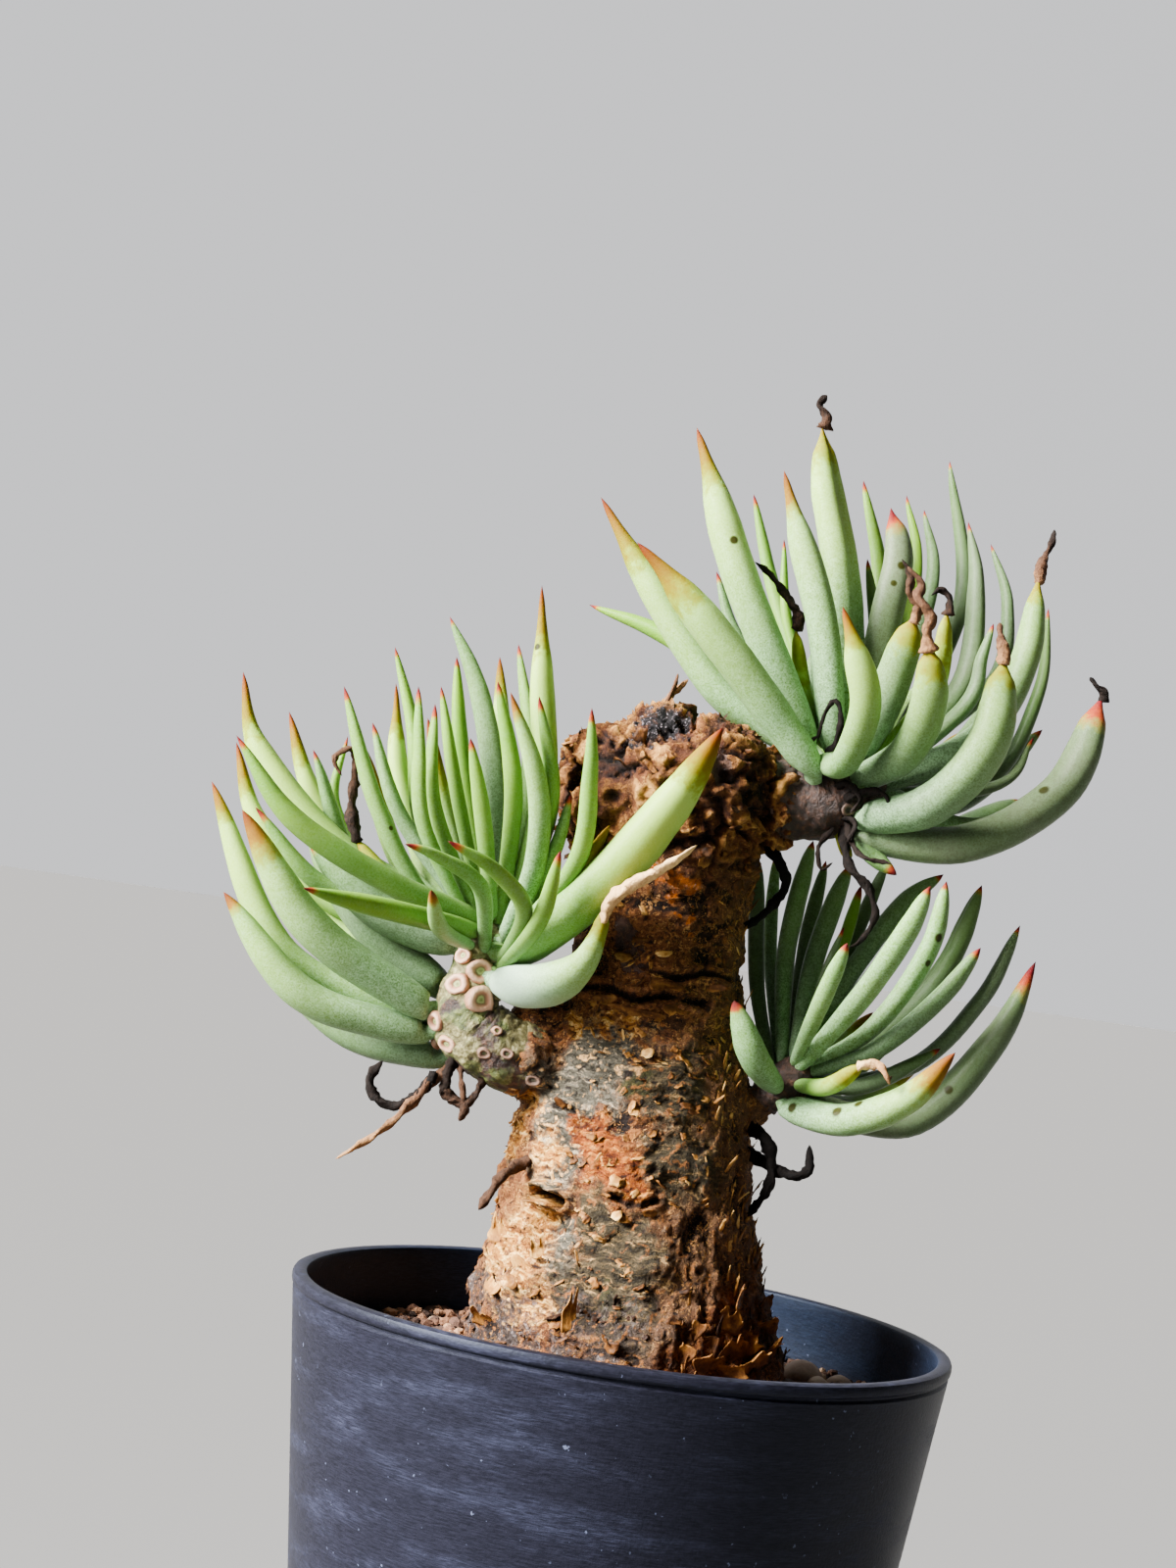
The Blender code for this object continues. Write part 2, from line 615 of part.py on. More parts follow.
TOP_HEAD = {
    "name": "rosette_top",
    "stem": [((40.3, -3.1, -3.1), 8.7), ((43.4, -3.5, -3.5), 8.3), ((50, -3, -4), 7.8),
             ((55, 1, -4.2), 6.6), ((58, 6, -3), 3.0)],
    "heart": (54, 2, -4),
    "axis": (0.45, 0.15, 0.88),
    "seed": 70,
    "far_count": 9,
    "far_tilt": 36,
    "far_range": (-1.3, 0.9),
    "far_length": 54.0,
    "far_width": 8.0,
    "far_start": 4.0,
    "leaves": [
        (9.0, [(46.5, 6, 2), (37, 11.5, 4.5), (26, 20, 5), (11, 44, 7), (2.6, 58.6, 9)]),
        (10.0, [(46, 3, -12.5), (28.4, 26.4, -19), (10.4, 48.4, -22)]),
        (9.8, [(45, 8, -7), (32, 40, -7), (25.4, 62, -5), (22.2, 72.8, -3)]),
        (5.0, [(46, 8, 3), (18, 29, 17), (0.2, 36.6, 25)]),
        (3.6, [(48, 8, 4), (38.4, 38, 14), (33.8, 59.2, 18)]),
        (2.6, [(49, 8, 2), (41, 32, 9), (40, 50, 13)]),
        (3.4, [(46, 8, 4), (31, 29, 17), (26.2, 43.4, 23)]),
        (3.8, [(48, 8, -3), (42.6, 24, -2), (41.6, 34, -3), (34, 45.4, -5)]),
        (7.4, [(50, 7, -6), (48, 32, -8), (42.4, 54, -8), (40, 64, -8)]),
        (8.2, [(53, 6, 0), (52.4, 38, 5), (49, 60, 8), (48.5, 79, 10)], "dry"),
        (3.6, [(55, 6, 3), (59.8, 38, 15), (56.2, 62, 20)]),
        (3.2, [(56, 6, 0), (58.8, 28, 7), (57, 46, 10)]),
        (6.6, [(56, 6, -3), (60, 30, 0), (63.6, 46, 3), (61.6, 56.6, 5)]),
        (3.0, [(58, 6, 2), (66.8, 42, 20), (65, 59, 26)]),
        (3.4, [(59, 6, 0), (70, 40, 14), (68.6, 56, 19)]),
        (3.6, [(60, 4, 2), (76, 36, 19), (73.8, 66, 26)]),
        (5.0, [(60, 3, -1), (76, 20, 6), (79.2, 40, 9), (77.6, 53.6, 11)]),
        (4.0, [(60, 1, -3), (77, 16, 1), (80.4, 26, 1), (82.8, 32.8, 1)]),
        (3.6, [(60, 2, 1), (82, 20, 15), (85.6, 36, 20), (82.2, 49, 24)]),
        (7.2, [(59, 0, -5), (79, 9, -5), (90, 27, -4), (95, 51.8, 0)], "dry"),
        (3.6, [(60, -2, 0), (82, 1, 11), (92, 19, 14), (94, 36, 14)]),
        (6.4, [(48, 4.6, -10), (51.6, 4.6, -19), (55.2, 16, -26), (51.6, 35.6, -28)]),
        (7.2, [(55, 6, -8), (61, 18, -15), (67, 30, -20), (64, 46, -22)], "dry"),
        (7.6, [(55, 0.6, -9), (65, 6.6, -20), (70.6, 20, -28), (65.4, 44, -31)], "dry"),
        (4.6, [(58, 4, -6), (70, 18, -12), (73.2, 37.6, -13)], "dry"),
        (9.8, [(56, -7, -9), (70, -4, -18), (81.6, 9, -24), (84, 32, -22)], "dry"),
        (8.8, [(55, -10.5, -7), (77, -12, -10), (97.6, 0, -8), (103.6, 21.6, -5)], "dry"),
        (2.8, [(58, -5, -3), (84, 0, 6), (91, 9.6, 9)]),
        (4.4, [(53.4, -9, -6), (58, -14.4, -9), (63, -18.6, -12)]),
    ],
    "twigs": [
        (1.7, [(51, -5, -7), (54, -2.4, -13), (60, -1.8, -16), (62, -6, -17)]),
        (1.9, [(52, -6, -6), (53, -16, -12), (57, -21, -14), (58.6, -27, -14), (55.6, -32, -14), (53, -33.4, -14)]),
        (1.6, [(52, -5.5, -7), (55, -14, -15), (62, -16.4, -18)]),
    ],
}

LOW_HEAD = {
    "name": "rosette_low",
    "stem": [((36.8, -63.5, -4.1), 3.3), ((40, -61, -4.5), 4.2), ((43, -58, -4.5), 3.8), ((45, -56, -4), 2.0)],
    "heart": (42, -60, -4),
    "axis": (0.6, 0.2, 0.75),
    "seed": 95,
    "far_count": 6,
    "far_tilt": 30,
    "far_range": (-1.0, 0.5),
    "far_length": 40.0,
    "far_width": 5.4,
    "far_start": 2.0,
    "leaves": [
        (6.4, [(38.4, -62, -9), (34, -56, -20), (29.6, -44.2, -25)]),
        (7.8, [(40.5, -66, -8), (55, -67.4, -20), (75, -55, -30)]),
        (7.8, [(42, -65, -5), (66, -68, -6), (82, -51, -8), (91.4, -36.4, -8)]),
        (4.8, [(44, -62, -1), (64, -58, 5), (80, -43, 8), (88.2, -28.8, 8)]),
        (4.6, [(44, -59, -6), (63, -51, -14), (80.6, -33.2, -18)]),
        (5.4, [(44, -60, -2), (65, -47, 2), (77, -30, 4), (80.4, -19.2, 4)]),
        (5.0, [(44.4, -58, -6), (60, -46, -11), (71, -30, -13), (73.2, -19.8, -13)]),
        (5.8, [(43, -58, -8), (52, -47, -19), (65, -30, -26), (70.4, -20.6, -28)]),
        (4.0, [(44, -57, -2), (58, -44, 5), (69.6, -28, 8)]),
        (4.2, [(42, -57, -8), (47, -46, -24), (52.8, -32.4, -32)]),
        (2.8, [(43, -56, -6), (48, -38, -13), (52.4, -28.4, -17)]),
        (5.4, [(44, -56, -1), (56, -36, 8), (66, -23, 12), (74, -17, 13)]),
        (5.2, [(42, -56, -3), (46, -34, 7), (53, -14, 15)]),
        (5.4, [(40.4, -57, -3), (39, -36, 7), (43, -18, 15), (45, -11, 18)]),
        (3.4, [(40, -57, -1), (37, -34, 13), (41.6, -15, 21)]),
        (4.8, [(38.6, -58.5, -2), (35.4, -36, 10), (36, -14, 17)]),
        (3.2, [(44, -57, 0), (55.2, -31, 14), (60.6, -16, 19)]),
        (4.0, [(43, -61.5, -8), (49, -61.4, -19), (55, -58, -26), (61.6, -61.4, -30)]),
        (4.2, [(43, -60, -5), (56, -61.6, -8), (72, -52, -9)]),
    ],
    "twigs": [],
}


def make_rosette(head):
    """One head: its young stem with every leaf fused to it, and the dry stalks that hang from it."""
    stem_curve = [sight(*point) for point, radius in head["stem"]]
    stem_radii = [radius for point, radius in head["stem"]]

    def centre(place):
        """The nearest point of the stem's middle line, short of its ends."""
        inner = smooth_path(stem_curve, 16)[3:-2]
        return min(inner, key=lambda point: (point - place).length)

    mesh_data = bmesh.new()
    add_limb(mesh_data, stem_curve, stem_radii, 10, Vector((0, -1, 0.1)))
    rosette = new_object(head["name"], mesh_data, (0.4, 0.6, 0.38), 0.5)
    parts = []
    for width, points, *form in head["leaves"]:
        parts.append(make_leaf(width, points, centre, *form))
    for index in range(head["far_count"]):
        parts.append(make_far_leaf(index, head, centre))
    for width, points in head["twigs"]:
        parts.append(make_limb(points, width, samples=8))
    union(rosette, parts)
    return rosette


def main():
    for item in list(bpy.data.objects):
        bpy.data.objects.remove(item)
    pot = make_pot()
    pot.data.shade_smooth()
    pot.data.set_sharp_from_angle(angle=math.radians(35))
    make_trunk()
    make_soil()
    for head in (LEFT_HEAD, TOP_HEAD, LOW_HEAD):
        rosette = make_rosette(head)
        rosette.data.shade_smooth()


main()
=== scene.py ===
"""A potted tylecodon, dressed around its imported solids.

Lengths are in millimetres until a mesh's points are placed, which is in metres (MM). Places on the
plant are given as in the construction: how far right of and above the middle of the view they show on
a sheet held before the eye, and their real depth along Y.
"""
import bisect
import math
import random

import bpy
from mathutils import Matrix, Vector, noise
from mathutils.bvhtree import BVHTree


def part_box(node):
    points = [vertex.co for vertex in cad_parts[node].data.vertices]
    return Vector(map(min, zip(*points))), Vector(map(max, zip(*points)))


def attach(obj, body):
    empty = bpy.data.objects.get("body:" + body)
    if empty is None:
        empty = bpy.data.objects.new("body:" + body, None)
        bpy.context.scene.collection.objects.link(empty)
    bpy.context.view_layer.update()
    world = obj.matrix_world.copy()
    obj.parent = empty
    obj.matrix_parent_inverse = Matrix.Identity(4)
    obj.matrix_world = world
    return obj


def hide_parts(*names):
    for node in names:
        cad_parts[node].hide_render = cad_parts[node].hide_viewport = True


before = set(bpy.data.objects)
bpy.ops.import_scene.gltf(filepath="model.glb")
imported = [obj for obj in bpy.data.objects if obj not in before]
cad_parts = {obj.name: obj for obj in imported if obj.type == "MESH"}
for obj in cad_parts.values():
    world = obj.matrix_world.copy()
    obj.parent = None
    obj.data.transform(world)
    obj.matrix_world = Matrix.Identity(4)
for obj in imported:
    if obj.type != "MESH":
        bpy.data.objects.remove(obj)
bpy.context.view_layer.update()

MM = 0.001
ROOT = "root"

# The view. The plant is looked at from a little above its crown, slightly from the left and with the
# camera leaning, because the pot was held at a slant. The lens frames 320 mm at the plant's distance.
EYE = Vector((-21.9, -487.9, 189.6))
SHEET = 481.0
SIGHT_RIGHT = Vector((0.99012, -0.00880, 0.13993))
SIGHT_UP = Vector((-0.14021, -0.06217, 0.98817))
SIGHT_AHEAD = Vector((0.0, 0.99803, 0.06279))
FRAME_HEIGHT = 320.0
SENSOR = 36.0


def sight(right, above, depth):
    """The place at a depth that shows this far right of and above the middle of the view."""
    ray = SIGHT_AHEAD * SHEET + SIGHT_RIGHT * right + SIGHT_UP * above
    return EYE + ray * ((depth - EYE.y) / ray.y)


turn = Matrix((SIGHT_RIGHT, SIGHT_UP, -SIGHT_AHEAD)).transposed()
bpy.ops.object.camera_add(location=EYE * MM, rotation=turn.to_euler())
camera = bpy.context.object
camera.name = "camera"
camera.data.sensor_width = SENSOR
camera.data.lens = SENSOR * SHEET / FRAME_HEIGHT
bpy.context.scene.camera = camera

# The pot: a thin nursery pot of matt black plastic, blown in one piece, with a rolled lip over a fine
# groove and drain holes in its raised base. Handling has left faint rubbed bands, which are also a painted
# sheen of light from the left, and pale specks.
POT_SIDES = 160
WALL = 1.5
WALL_TAPER = math.radians(7.4)
LIP_HEIGHT = 2.4
LIP_WIDTH = 3.0
LIP_GROOVE = 0.6
RECESS = 1.5
FLOOR = 2.0
CENTRE_PAD = 18.0
FOOT_WIDTH = 5.0
DRAIN_RADIUS = 5.0
DRAIN_RING = 32.0
DRAIN_COUNT = 6
DRAIN_TURN = 0.3
WALL_STEPS = 9
DENT = 0.3
pot_low, pot_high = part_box("pot")
rim_radius = pot_high.x / MM
pot_height = pot_high.z / MM


def wall_radius(height):
    """The pot's outer radius under its lip."""
    return rim_radius - (pot_height - height) * math.tan(WALL_TAPER)


def turned_shell(name, profile, sides):
    """A round shell: a circle at the profile's first radius and height, extruded along the others."""
    bpy.ops.object.select_all(action="DESELECT")
    radius, height = profile[0]
    bpy.ops.mesh.primitive_circle_add(vertices=sides, radius=radius * MM, location=(0, 0, height * MM))
    bpy.ops.object.transform_apply(location=True)
    shell = bpy.context.object
    shell.name = name
    bpy.ops.object.mode_set(mode="EDIT")
    bpy.ops.mesh.select_all(action="SELECT")
    bpy.ops.mesh.edge_face_add()
    bpy.ops.mesh.select_all(action="DESELECT")
    bpy.ops.mesh.select_all(action="SELECT")
    for next_radius, next_height in profile[1:]:
        rise = (0, 0, (next_height - height) * MM)
        bpy.ops.mesh.extrude_region_move(TRANSFORM_OT_translate={"value": rise})
        grow = next_radius / radius
        bpy.ops.transform.resize(value=(grow, grow, 1), center_override=(0, 0, 0))
        radius, height = next_radius, next_height
    bpy.ops.mesh.select_all(action="SELECT")
    bpy.ops.mesh.normals_make_consistent(inside=False)
    bpy.ops.object.mode_set(mode="OBJECT")
    return shell


foot = wall_radius(0)
lip_foot = pot_height - LIP_HEIGHT
inner_floor = RECESS + FLOOR
profile = [
    (CENTRE_PAD - 0.6, 0.0),
    (CENTRE_PAD, 0.15),
    (CENTRE_PAD + 1, RECESS),
    (foot - FOOT_WIDTH - 0.3, RECESS),
    (foot - FOOT_WIDTH + 0.5, 0.15),
    (foot - FOOT_WIDTH + 0.8, 0.0),
    (foot - 0.9, 0.0),
    (foot - 0.3, 0.25),
    (foot, 0.9),
]
for step in range(1, WALL_STEPS):
    height = lip_foot * step / WALL_STEPS
    profile.append((wall_radius(height), height))
profile += [
    (wall_radius(lip_foot) - 0.1, lip_foot - 1.1),
    (wall_radius(lip_foot) - LIP_GROOVE, lip_foot - 0.6),
    (wall_radius(lip_foot) - LIP_GROOVE, lip_foot - 0.2),
    (rim_radius - 0.5, lip_foot),
    (rim_radius - 0.1, lip_foot + 0.3),
    (rim_radius, lip_foot + 0.7),
    (rim_radius, pot_height - 0.9),
    (rim_radius - 0.25, pot_height - 0.3),
    (rim_radius - 0.9, pot_height),
    (rim_radius - LIP_WIDTH + 0.8, pot_height),
    (rim_radius - LIP_WIDTH + 0.2, pot_height - 0.3),
    (rim_radius - LIP_WIDTH, pot_height - 0.9),
    (wall_radius(lip_foot) - WALL - LIP_GROOVE, lip_foot - 1.2),
]
for step in range(WALL_STEPS - 1, 0, -1):
    height = inner_floor + (lip_foot - inner_floor) * step / WALL_STEPS
    profile.append((wall_radius(height) - WALL - 0.1, height))
profile += [(wall_radius(inner_floor) - WALL, inner_floor), (CENTRE_PAD, inner_floor)]
pot = turned_shell("nursery_pot", profile, POT_SIDES)
for index in range(DRAIN_COUNT):
    angle = math.tau * (index + DRAIN_TURN) / DRAIN_COUNT
    place = Vector((math.cos(angle), math.sin(angle), 0)) * DRAIN_RING * MM
    bpy.ops.object.select_all(action="DESELECT")
    bpy.ops.mesh.primitive_cylinder_add(vertices=32, radius=DRAIN_RADIUS * MM, depth=0.02, location=place)
    drill = bpy.context.object
    bpy.context.view_layer.objects.active = pot
    boolean = pot.modifiers.new("drain", "BOOLEAN")
    boolean.operation = "DIFFERENCE"
    boolean.object = drill
    bpy.ops.object.modifier_apply(modifier="drain")
    bpy.data.objects.remove(drill)
for vert in pot.data.vertices:
    outward = Vector((vert.co.x, vert.co.y, 0)).normalized()
    height_share = vert.co.z / (pot_height * MM)
    vert.co += outward * (noise.noise(outward * 1.6 + Vector((0, 0, height_share * 1.2))) * DENT * height_share * MM)
bpy.ops.object.select_all(action="DESELECT")
pot.select_set(True)
bpy.ops.object.shade_smooth_by_angle(angle=math.radians(40))


def add_node(tree, kind, inputs=(), **settings):
    """A shader node with its settings, its inputs given as values or as sockets to link from."""
    item = tree.nodes.new("ShaderNode" + kind)
    for name, value in settings.items():
        setattr(item, name, value)
    for key, value in dict(inputs).items():
        if isinstance(value, bpy.types.NodeSocket):
            tree.links.new(value, item.inputs[key])
        else:
            item.inputs[key].default_value = value
    return item


def maths(tree, operation, first, second=0.0, clamp=False):
    """The result of one Math node."""
    return add_node(tree, "Math", {0: first, 1: second}, operation=operation, use_clamp=clamp).outputs[0]


def mixed(tree, factor, first, second, blend="MIX"):
    """The result of one colour Mix node."""
    item = add_node(tree, "Mix", {0: factor, 6: first, 7: second}, data_type="RGBA", blend_type=blend)
    return item.outputs[2]


def ramp(tree, value, *stops):
    """The colour of a ramp at a value. A stop is a place and a colour of three or four numbers."""
    item = add_node(tree, "ValToRGB", {0: value})
    elements = item.color_ramp.elements
    while len(elements) < len(stops):
        elements.new(0.5)
    for element, (place, colour) in zip(elements, stops):
        element.position = place
        element.color = colour if len(colour) == 4 else (*colour, 1.0)
    return item.outputs[0]


def stretch(tree, value, low, high, to_low=0.0, to_high=1.0, smooth=True):
    """A value between low and high taken to between two others, held at the ends."""
    kind = "SMOOTHSTEP" if smooth else "LINEAR"
    inputs = {"Value": value, "From Min": low, "From Max": high, "To Min": to_low, "To Max": to_high}
    return add_node(tree, "MapRange", inputs, interpolation_type=kind).outputs[0]


def cloud(tree, place, scale, detail=3.0, roughness=0.5, squash=(1, 1, 1)):
    """Noise at a place, its grain given as how many fit in a metre."""
    scaled = add_node(tree, "VectorMath", {0: place, 1: squash}, operation="MULTIPLY").outputs[0]
    inputs = {"Vector": scaled, "Scale": scale, "Detail": detail, "Roughness": roughness}
    return add_node(tree, "TexNoise", inputs).outputs["Fac"]


def new_material(name, roughness):
    """A material with its tree, its shader and the object's own coordinates."""
    material = bpy.data.materials.new(name)
    material.use_nodes = True
    tree = material.node_tree
    shader = tree.nodes["Principled BSDF"]
    shader.inputs["Roughness"].default_value = roughness
    place = add_node(tree, "TexCoord").outputs["Object"]
    return material, tree, shader, place


def bumped(tree, shader, height, depth):
    """Feed a height to the shader's normal, its full range being a depth in millimetres."""
    bump = add_node(tree, "Bump", {"Height": height, "Strength": 1.0, "Distance": depth * MM})
    tree.links.new(bump.outputs["Normal"], shader.inputs["Normal"])


def set_values(mesh, name, values):
    """Give each point of a mesh its value of an attribute."""
    layer = mesh.attributes.new(name, "FLOAT", "POINT")
    layer.data.foreach_set("value", values)


insides = []
for vert in pot.data.vertices:
    outward = Vector((vert.co.x, vert.co.y, 0)).normalized()
    insides.append(1.0 if vert.normal.dot(outward) < -0.5 else 0.0)
set_values(pot.data, "inside", insides)
plastic, tree, shader, place = new_material("pot_plastic", 0.5)
# Rubbed bands: partly real scuffs, partly a painted sheen, lighter and bluer where light from the left would glance off
# the wall.
rubbed_and_sheen = cloud(tree, place, 40, 5, 0.6, (1, 1, 4.5))
scratches = cloud(tree, place, 300, 3, 0.7, (1, 1, 14))
scuffs_and_sheen = maths(tree, "MULTIPLY", stretch(tree, rubbed_and_sheen, 0.45, 0.72), stretch(tree, scratches, 0.3, 0.7))
speck = stretch(tree, cloud(tree, place, 640, 2, 0.6), 0.70, 0.74)
speck = maths(tree, "MULTIPLY", speck, stretch(tree, cloud(tree, place, 45, 2), 0.40, 0.60))
brushed = cloud(tree, place, 420, 3, 0.7, (1, 1, 9))
colour = ramp(tree, scuffs_and_sheen, (0.0, (0.0054, 0.0054, 0.0094)), (1.0, (0.0150, 0.0165, 0.0300)))
inside = add_node(tree, "Attribute", attribute_name="inside").outputs["Fac"]
# Painted light: the inner wall is painted a lighter blue, as if lit from the left.
painted_inner_light = maths(tree, "MULTIPLY", inside, stretch(tree, rubbed_and_sheen, 0.35, 0.6, 0.5, 1.0))
colour = mixed(tree, painted_inner_light, colour, (0.0065, 0.0100, 0.0205, 1))
colour = mixed(tree, 1.0, colour, stretch(tree, brushed, 0.3, 0.7, 0.6, 1.5), "MULTIPLY")
colour = mixed(tree, maths(tree, "MULTIPLY", speck, 0.8), colour, (0.075, 0.090, 0.15, 1))
tree.links.new(colour, shader.inputs["Base Color"])
tree.links.new(stretch(tree, scuffs_and_sheen, 0.0, 1.0, 0.46, 0.6), shader.inputs["Roughness"])
shader.inputs["Specular IOR Level"].default_value = 0.11
shader.inputs["Specular Tint"].default_value = (0.66, 0.78, 1.0, 1)
bumped(tree, shader, cloud(tree, place, 1500, 3), 0.06)
pot.data.materials.append(plastic)
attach(pot, ROOT)
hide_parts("pot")

# The growing medium: red-brown grit that fills the pot to a finger's width under the rim, its top a
# loose layer of broken grains, with some rounded tan pebbles laid on it.
CLEARANCE = 0.3
SOIL_LEVEL = 101.0
SOIL_GRAIN = 1.3
SOIL_SIDES = 160
SOIL_RINGS = 34
GRAIN_COUNT = 1100
PEBBLE_COUNT = 26
GOLDEN_ANGLE = math.radians(137.508)
FRONT_PEBBLES = [((43.7, -121), 4.3), ((51.2, -123), 3.0), ((37, -122.5), 3.2)]
soil_low, soil_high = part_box("soil")
bottom = soil_low.z / MM
inside = WALL + LIP_GROOVE + CLEARANCE
top_radius = wall_radius(SOIL_LEVEL) - inside
profile = [(wall_radius(bottom) - inside, bottom), (top_radius, SOIL_LEVEL - 1.5)]
for ring in range(SOIL_RINGS, 1, -1):
    profile.append((top_radius * ring / SOIL_RINGS, SOIL_LEVEL))
bed = turned_shell("grit_bed", profile, SOIL_SIDES)


def sight_level(right, above, height):
    """The place at a height that shows this far right of and above the middle of the view."""
    ray = SIGHT_AHEAD * SHEET + SIGHT_RIGHT * right + SIGHT_UP * above
    return EYE + ray * ((height - EYE.z) / ray.z)


def bed_height(x, y):
    """How high the bed stands at a place, its lumps worn as in the construction."""
    place = Vector((x, y, 0))
    return SOIL_LEVEL + (noise.noise(place * 0.21) + 0.7 * noise.noise(place * 0.63)) * SOIL_GRAIN


for vert in bed.data.vertices:
    if vert.co.z > (SOIL_LEVEL - 2) * MM:
        fine = noise.noise(vert.co / MM * 1.4) * 0.5
        vert.co.z = (bed_height(vert.co.x / MM, vert.co.y / MM) + fine) * MM
bpy.ops.object.select_all(action="DESELECT")
bed.select_set(True)
bpy.ops.object.shade_smooth_by_angle(angle=math.radians(40))

grit, tree, shader, place = new_material("grit", 0.92)
shade = add_node(tree, "Attribute", attribute_name="shade").outputs["Fac"]
mottle = cloud(tree, place, 900, 4, 0.65)
tone = maths(tree, "ADD", shade, maths(tree, "MULTIPLY", maths(tree, "SUBTRACT", mottle, 0.5), 0.35))
colour = ramp(tree, tone, (0.0, (0.014, 0.006, 0.003)), (0.3, (0.060, 0.022, 0.009)), (0.55, (0.14, 0.055, 0.022)),
              (0.8, (0.25, 0.13, 0.065)), (1.0, (0.36, 0.25, 0.16)))
tree.links.new(colour, shader.inputs["Base Color"])
bumped(tree, shader, cloud(tree, place, 2200, 4, 0.6), 0.25)

trunk_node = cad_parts["trunk"]
trunk_solid = BVHTree.FromPolygons([vert.co.copy() for vert in trunk_node.data.vertices],
                                   [list(face.vertices) for face in trunk_node.data.polygons])


def grain_blank(name, cuts):
    """A stone's blank: a cube cut up and rounded to a ball of radius 1."""
    bpy.ops.object.select_all(action="DESELECT")
    bpy.ops.mesh.primitive_cube_add(size=2)
    blank = bpy.context.object
    blank.name = name
    bpy.ops.object.mode_set(mode="EDIT")
    bpy.ops.mesh.select_all(action="SELECT")
    bpy.ops.mesh.subdivide(number_cuts=cuts)
    bpy.ops.object.mode_set(mode="OBJECT")
    for vert in blank.data.vertices:
        vert.co.normalize()
    return blank


def copied_stone(blank, place, size, broken, shade, draw):
    """A stone at a place: its blank stretched, knocked about and laid at any angle."""
    mesh = blank.data.copy()
    turn = Matrix.Rotation(draw.uniform(0, math.tau), 3, "Z") @ Matrix.Rotation(draw.uniform(-0.5, 0.5), 3, "X")
    drift = Vector((draw.uniform(0, 90), draw.uniform(0, 90), 0))
    for vert in mesh.vertices:
        lump = 1 + broken * noise.noise(vert.co * 1.3 + drift)
        stretched = Vector((vert.co.x * size.x, vert.co.y * size.y, vert.co.z * size.z)) * lump
        vert.co = (turn @ stretched + place) * MM
    set_values(mesh, "shade", [shade] * len(mesh.vertices))
    stone = bpy.data.objects.new("stone", mesh)
    bpy.context.scene.collection.objects.link(stone)
    return stone


def joined(name, pieces, material, smooth=True):
    """Like pieces joined to one object with one material, riding on the plant's body."""
    bpy.ops.object.select_all(action="DESELECT")
    for piece in pieces:
        piece.select_set(True)
    bpy.context.view_layer.objects.active = pieces[0]
    bpy.ops.object.join()
    whole = bpy.context.object
    whole.name = name
    if smooth:
        bpy.ops.object.shade_smooth()
    whole.data.materials.clear()
    whole.data.materials.append(material)
    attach(whole, ROOT)
    return whole


grain = grain_blank("grain", 1)
draw = random.Random(31)
grains = []
while len(grains) < GRAIN_COUNT:
    distance = top_radius * math.sqrt(draw.uniform(0.02, 0.96))
    angle = draw.uniform(0, math.tau)
    spot = Vector((distance * math.cos(angle), distance * math.sin(angle), 0))
    radius = draw.uniform(0.7, 1.9)
    spot.z = bed_height(spot.x, spot.y) + radius * 0.35
    away = trunk_solid.find_nearest(spot * MM)[3] / MM
    if away < radius * 0.7 or distance + radius > top_radius:
        continue
    size = Vector((radius * draw.uniform(0.9, 1.3), radius * draw.uniform(0.7, 1.0), radius * 0.75))
    grains.append(copied_stone(grain, spot, size, 0.35, draw.uniform(0.05, 0.95), draw))
top_grit = joined("grit_grains", grains, grit, smooth=False)

pebble_stone, tree, shader, place = new_material("pebble_stone", 0.75)
shade = add_node(tree, "Attribute", attribute_name="shade").outputs["Fac"]
mottle = cloud(tree, place, 500, 5, 0.6)
tone = maths(tree, "ADD", maths(tree, "MULTIPLY", shade, 0.5), maths(tree, "MULTIPLY", mottle, 0.5))
colour = ramp(tree, tone, (0.15, (0.10, 0.055, 0.034)), (0.5, (0.26, 0.17, 0.11)), (0.85, (0.44, 0.33, 0.24)))
tree.links.new(colour, shader.inputs["Base Color"])
bumped(tree, shader, cloud(tree, place, 1800, 4), 0.12)
pebble = grain_blank("pebble", 7)
draw = random.Random(5)
pebbles = []
for index in range(PEBBLE_COUNT):
    radius = draw.uniform(2.4, 4.4)
    distance = draw.uniform(44, 55)
    angle = index * GOLDEN_ANGLE
    flat = draw.uniform(0.6, 0.8)
    if math.cos(angle) < -0.1:
        continue
    spot = Vector((distance * math.cos(angle), distance * math.sin(angle), SOIL_LEVEL + radius * 0.3))
    size = Vector((radius * 1.2, radius, radius * flat))
    pebbles.append(copied_stone(pebble, spot, size, 0.14, draw.uniform(0.2, 0.9), random.Random(index)))
for (right, above), radius in FRONT_PEBBLES:
    spot = sight_level(right, above, SOIL_LEVEL + radius * 0.45)
    size = Vector((radius * 1.15, radius, radius * 0.8))
    pebbles.append(copied_stone(pebble, spot, size, 0.12, draw.uniform(0.3, 0.8), random.Random(radius)))
joined("pebbles", pebbles, pebble_stone)
for blank in (grain, pebble):
    bpy.data.objects.remove(blank)
set_values(bed.data, "shade", [0.18] * len(bed.data.vertices))
bed.data.materials.append(grit)
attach(bed, ROOT)
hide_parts("soil")

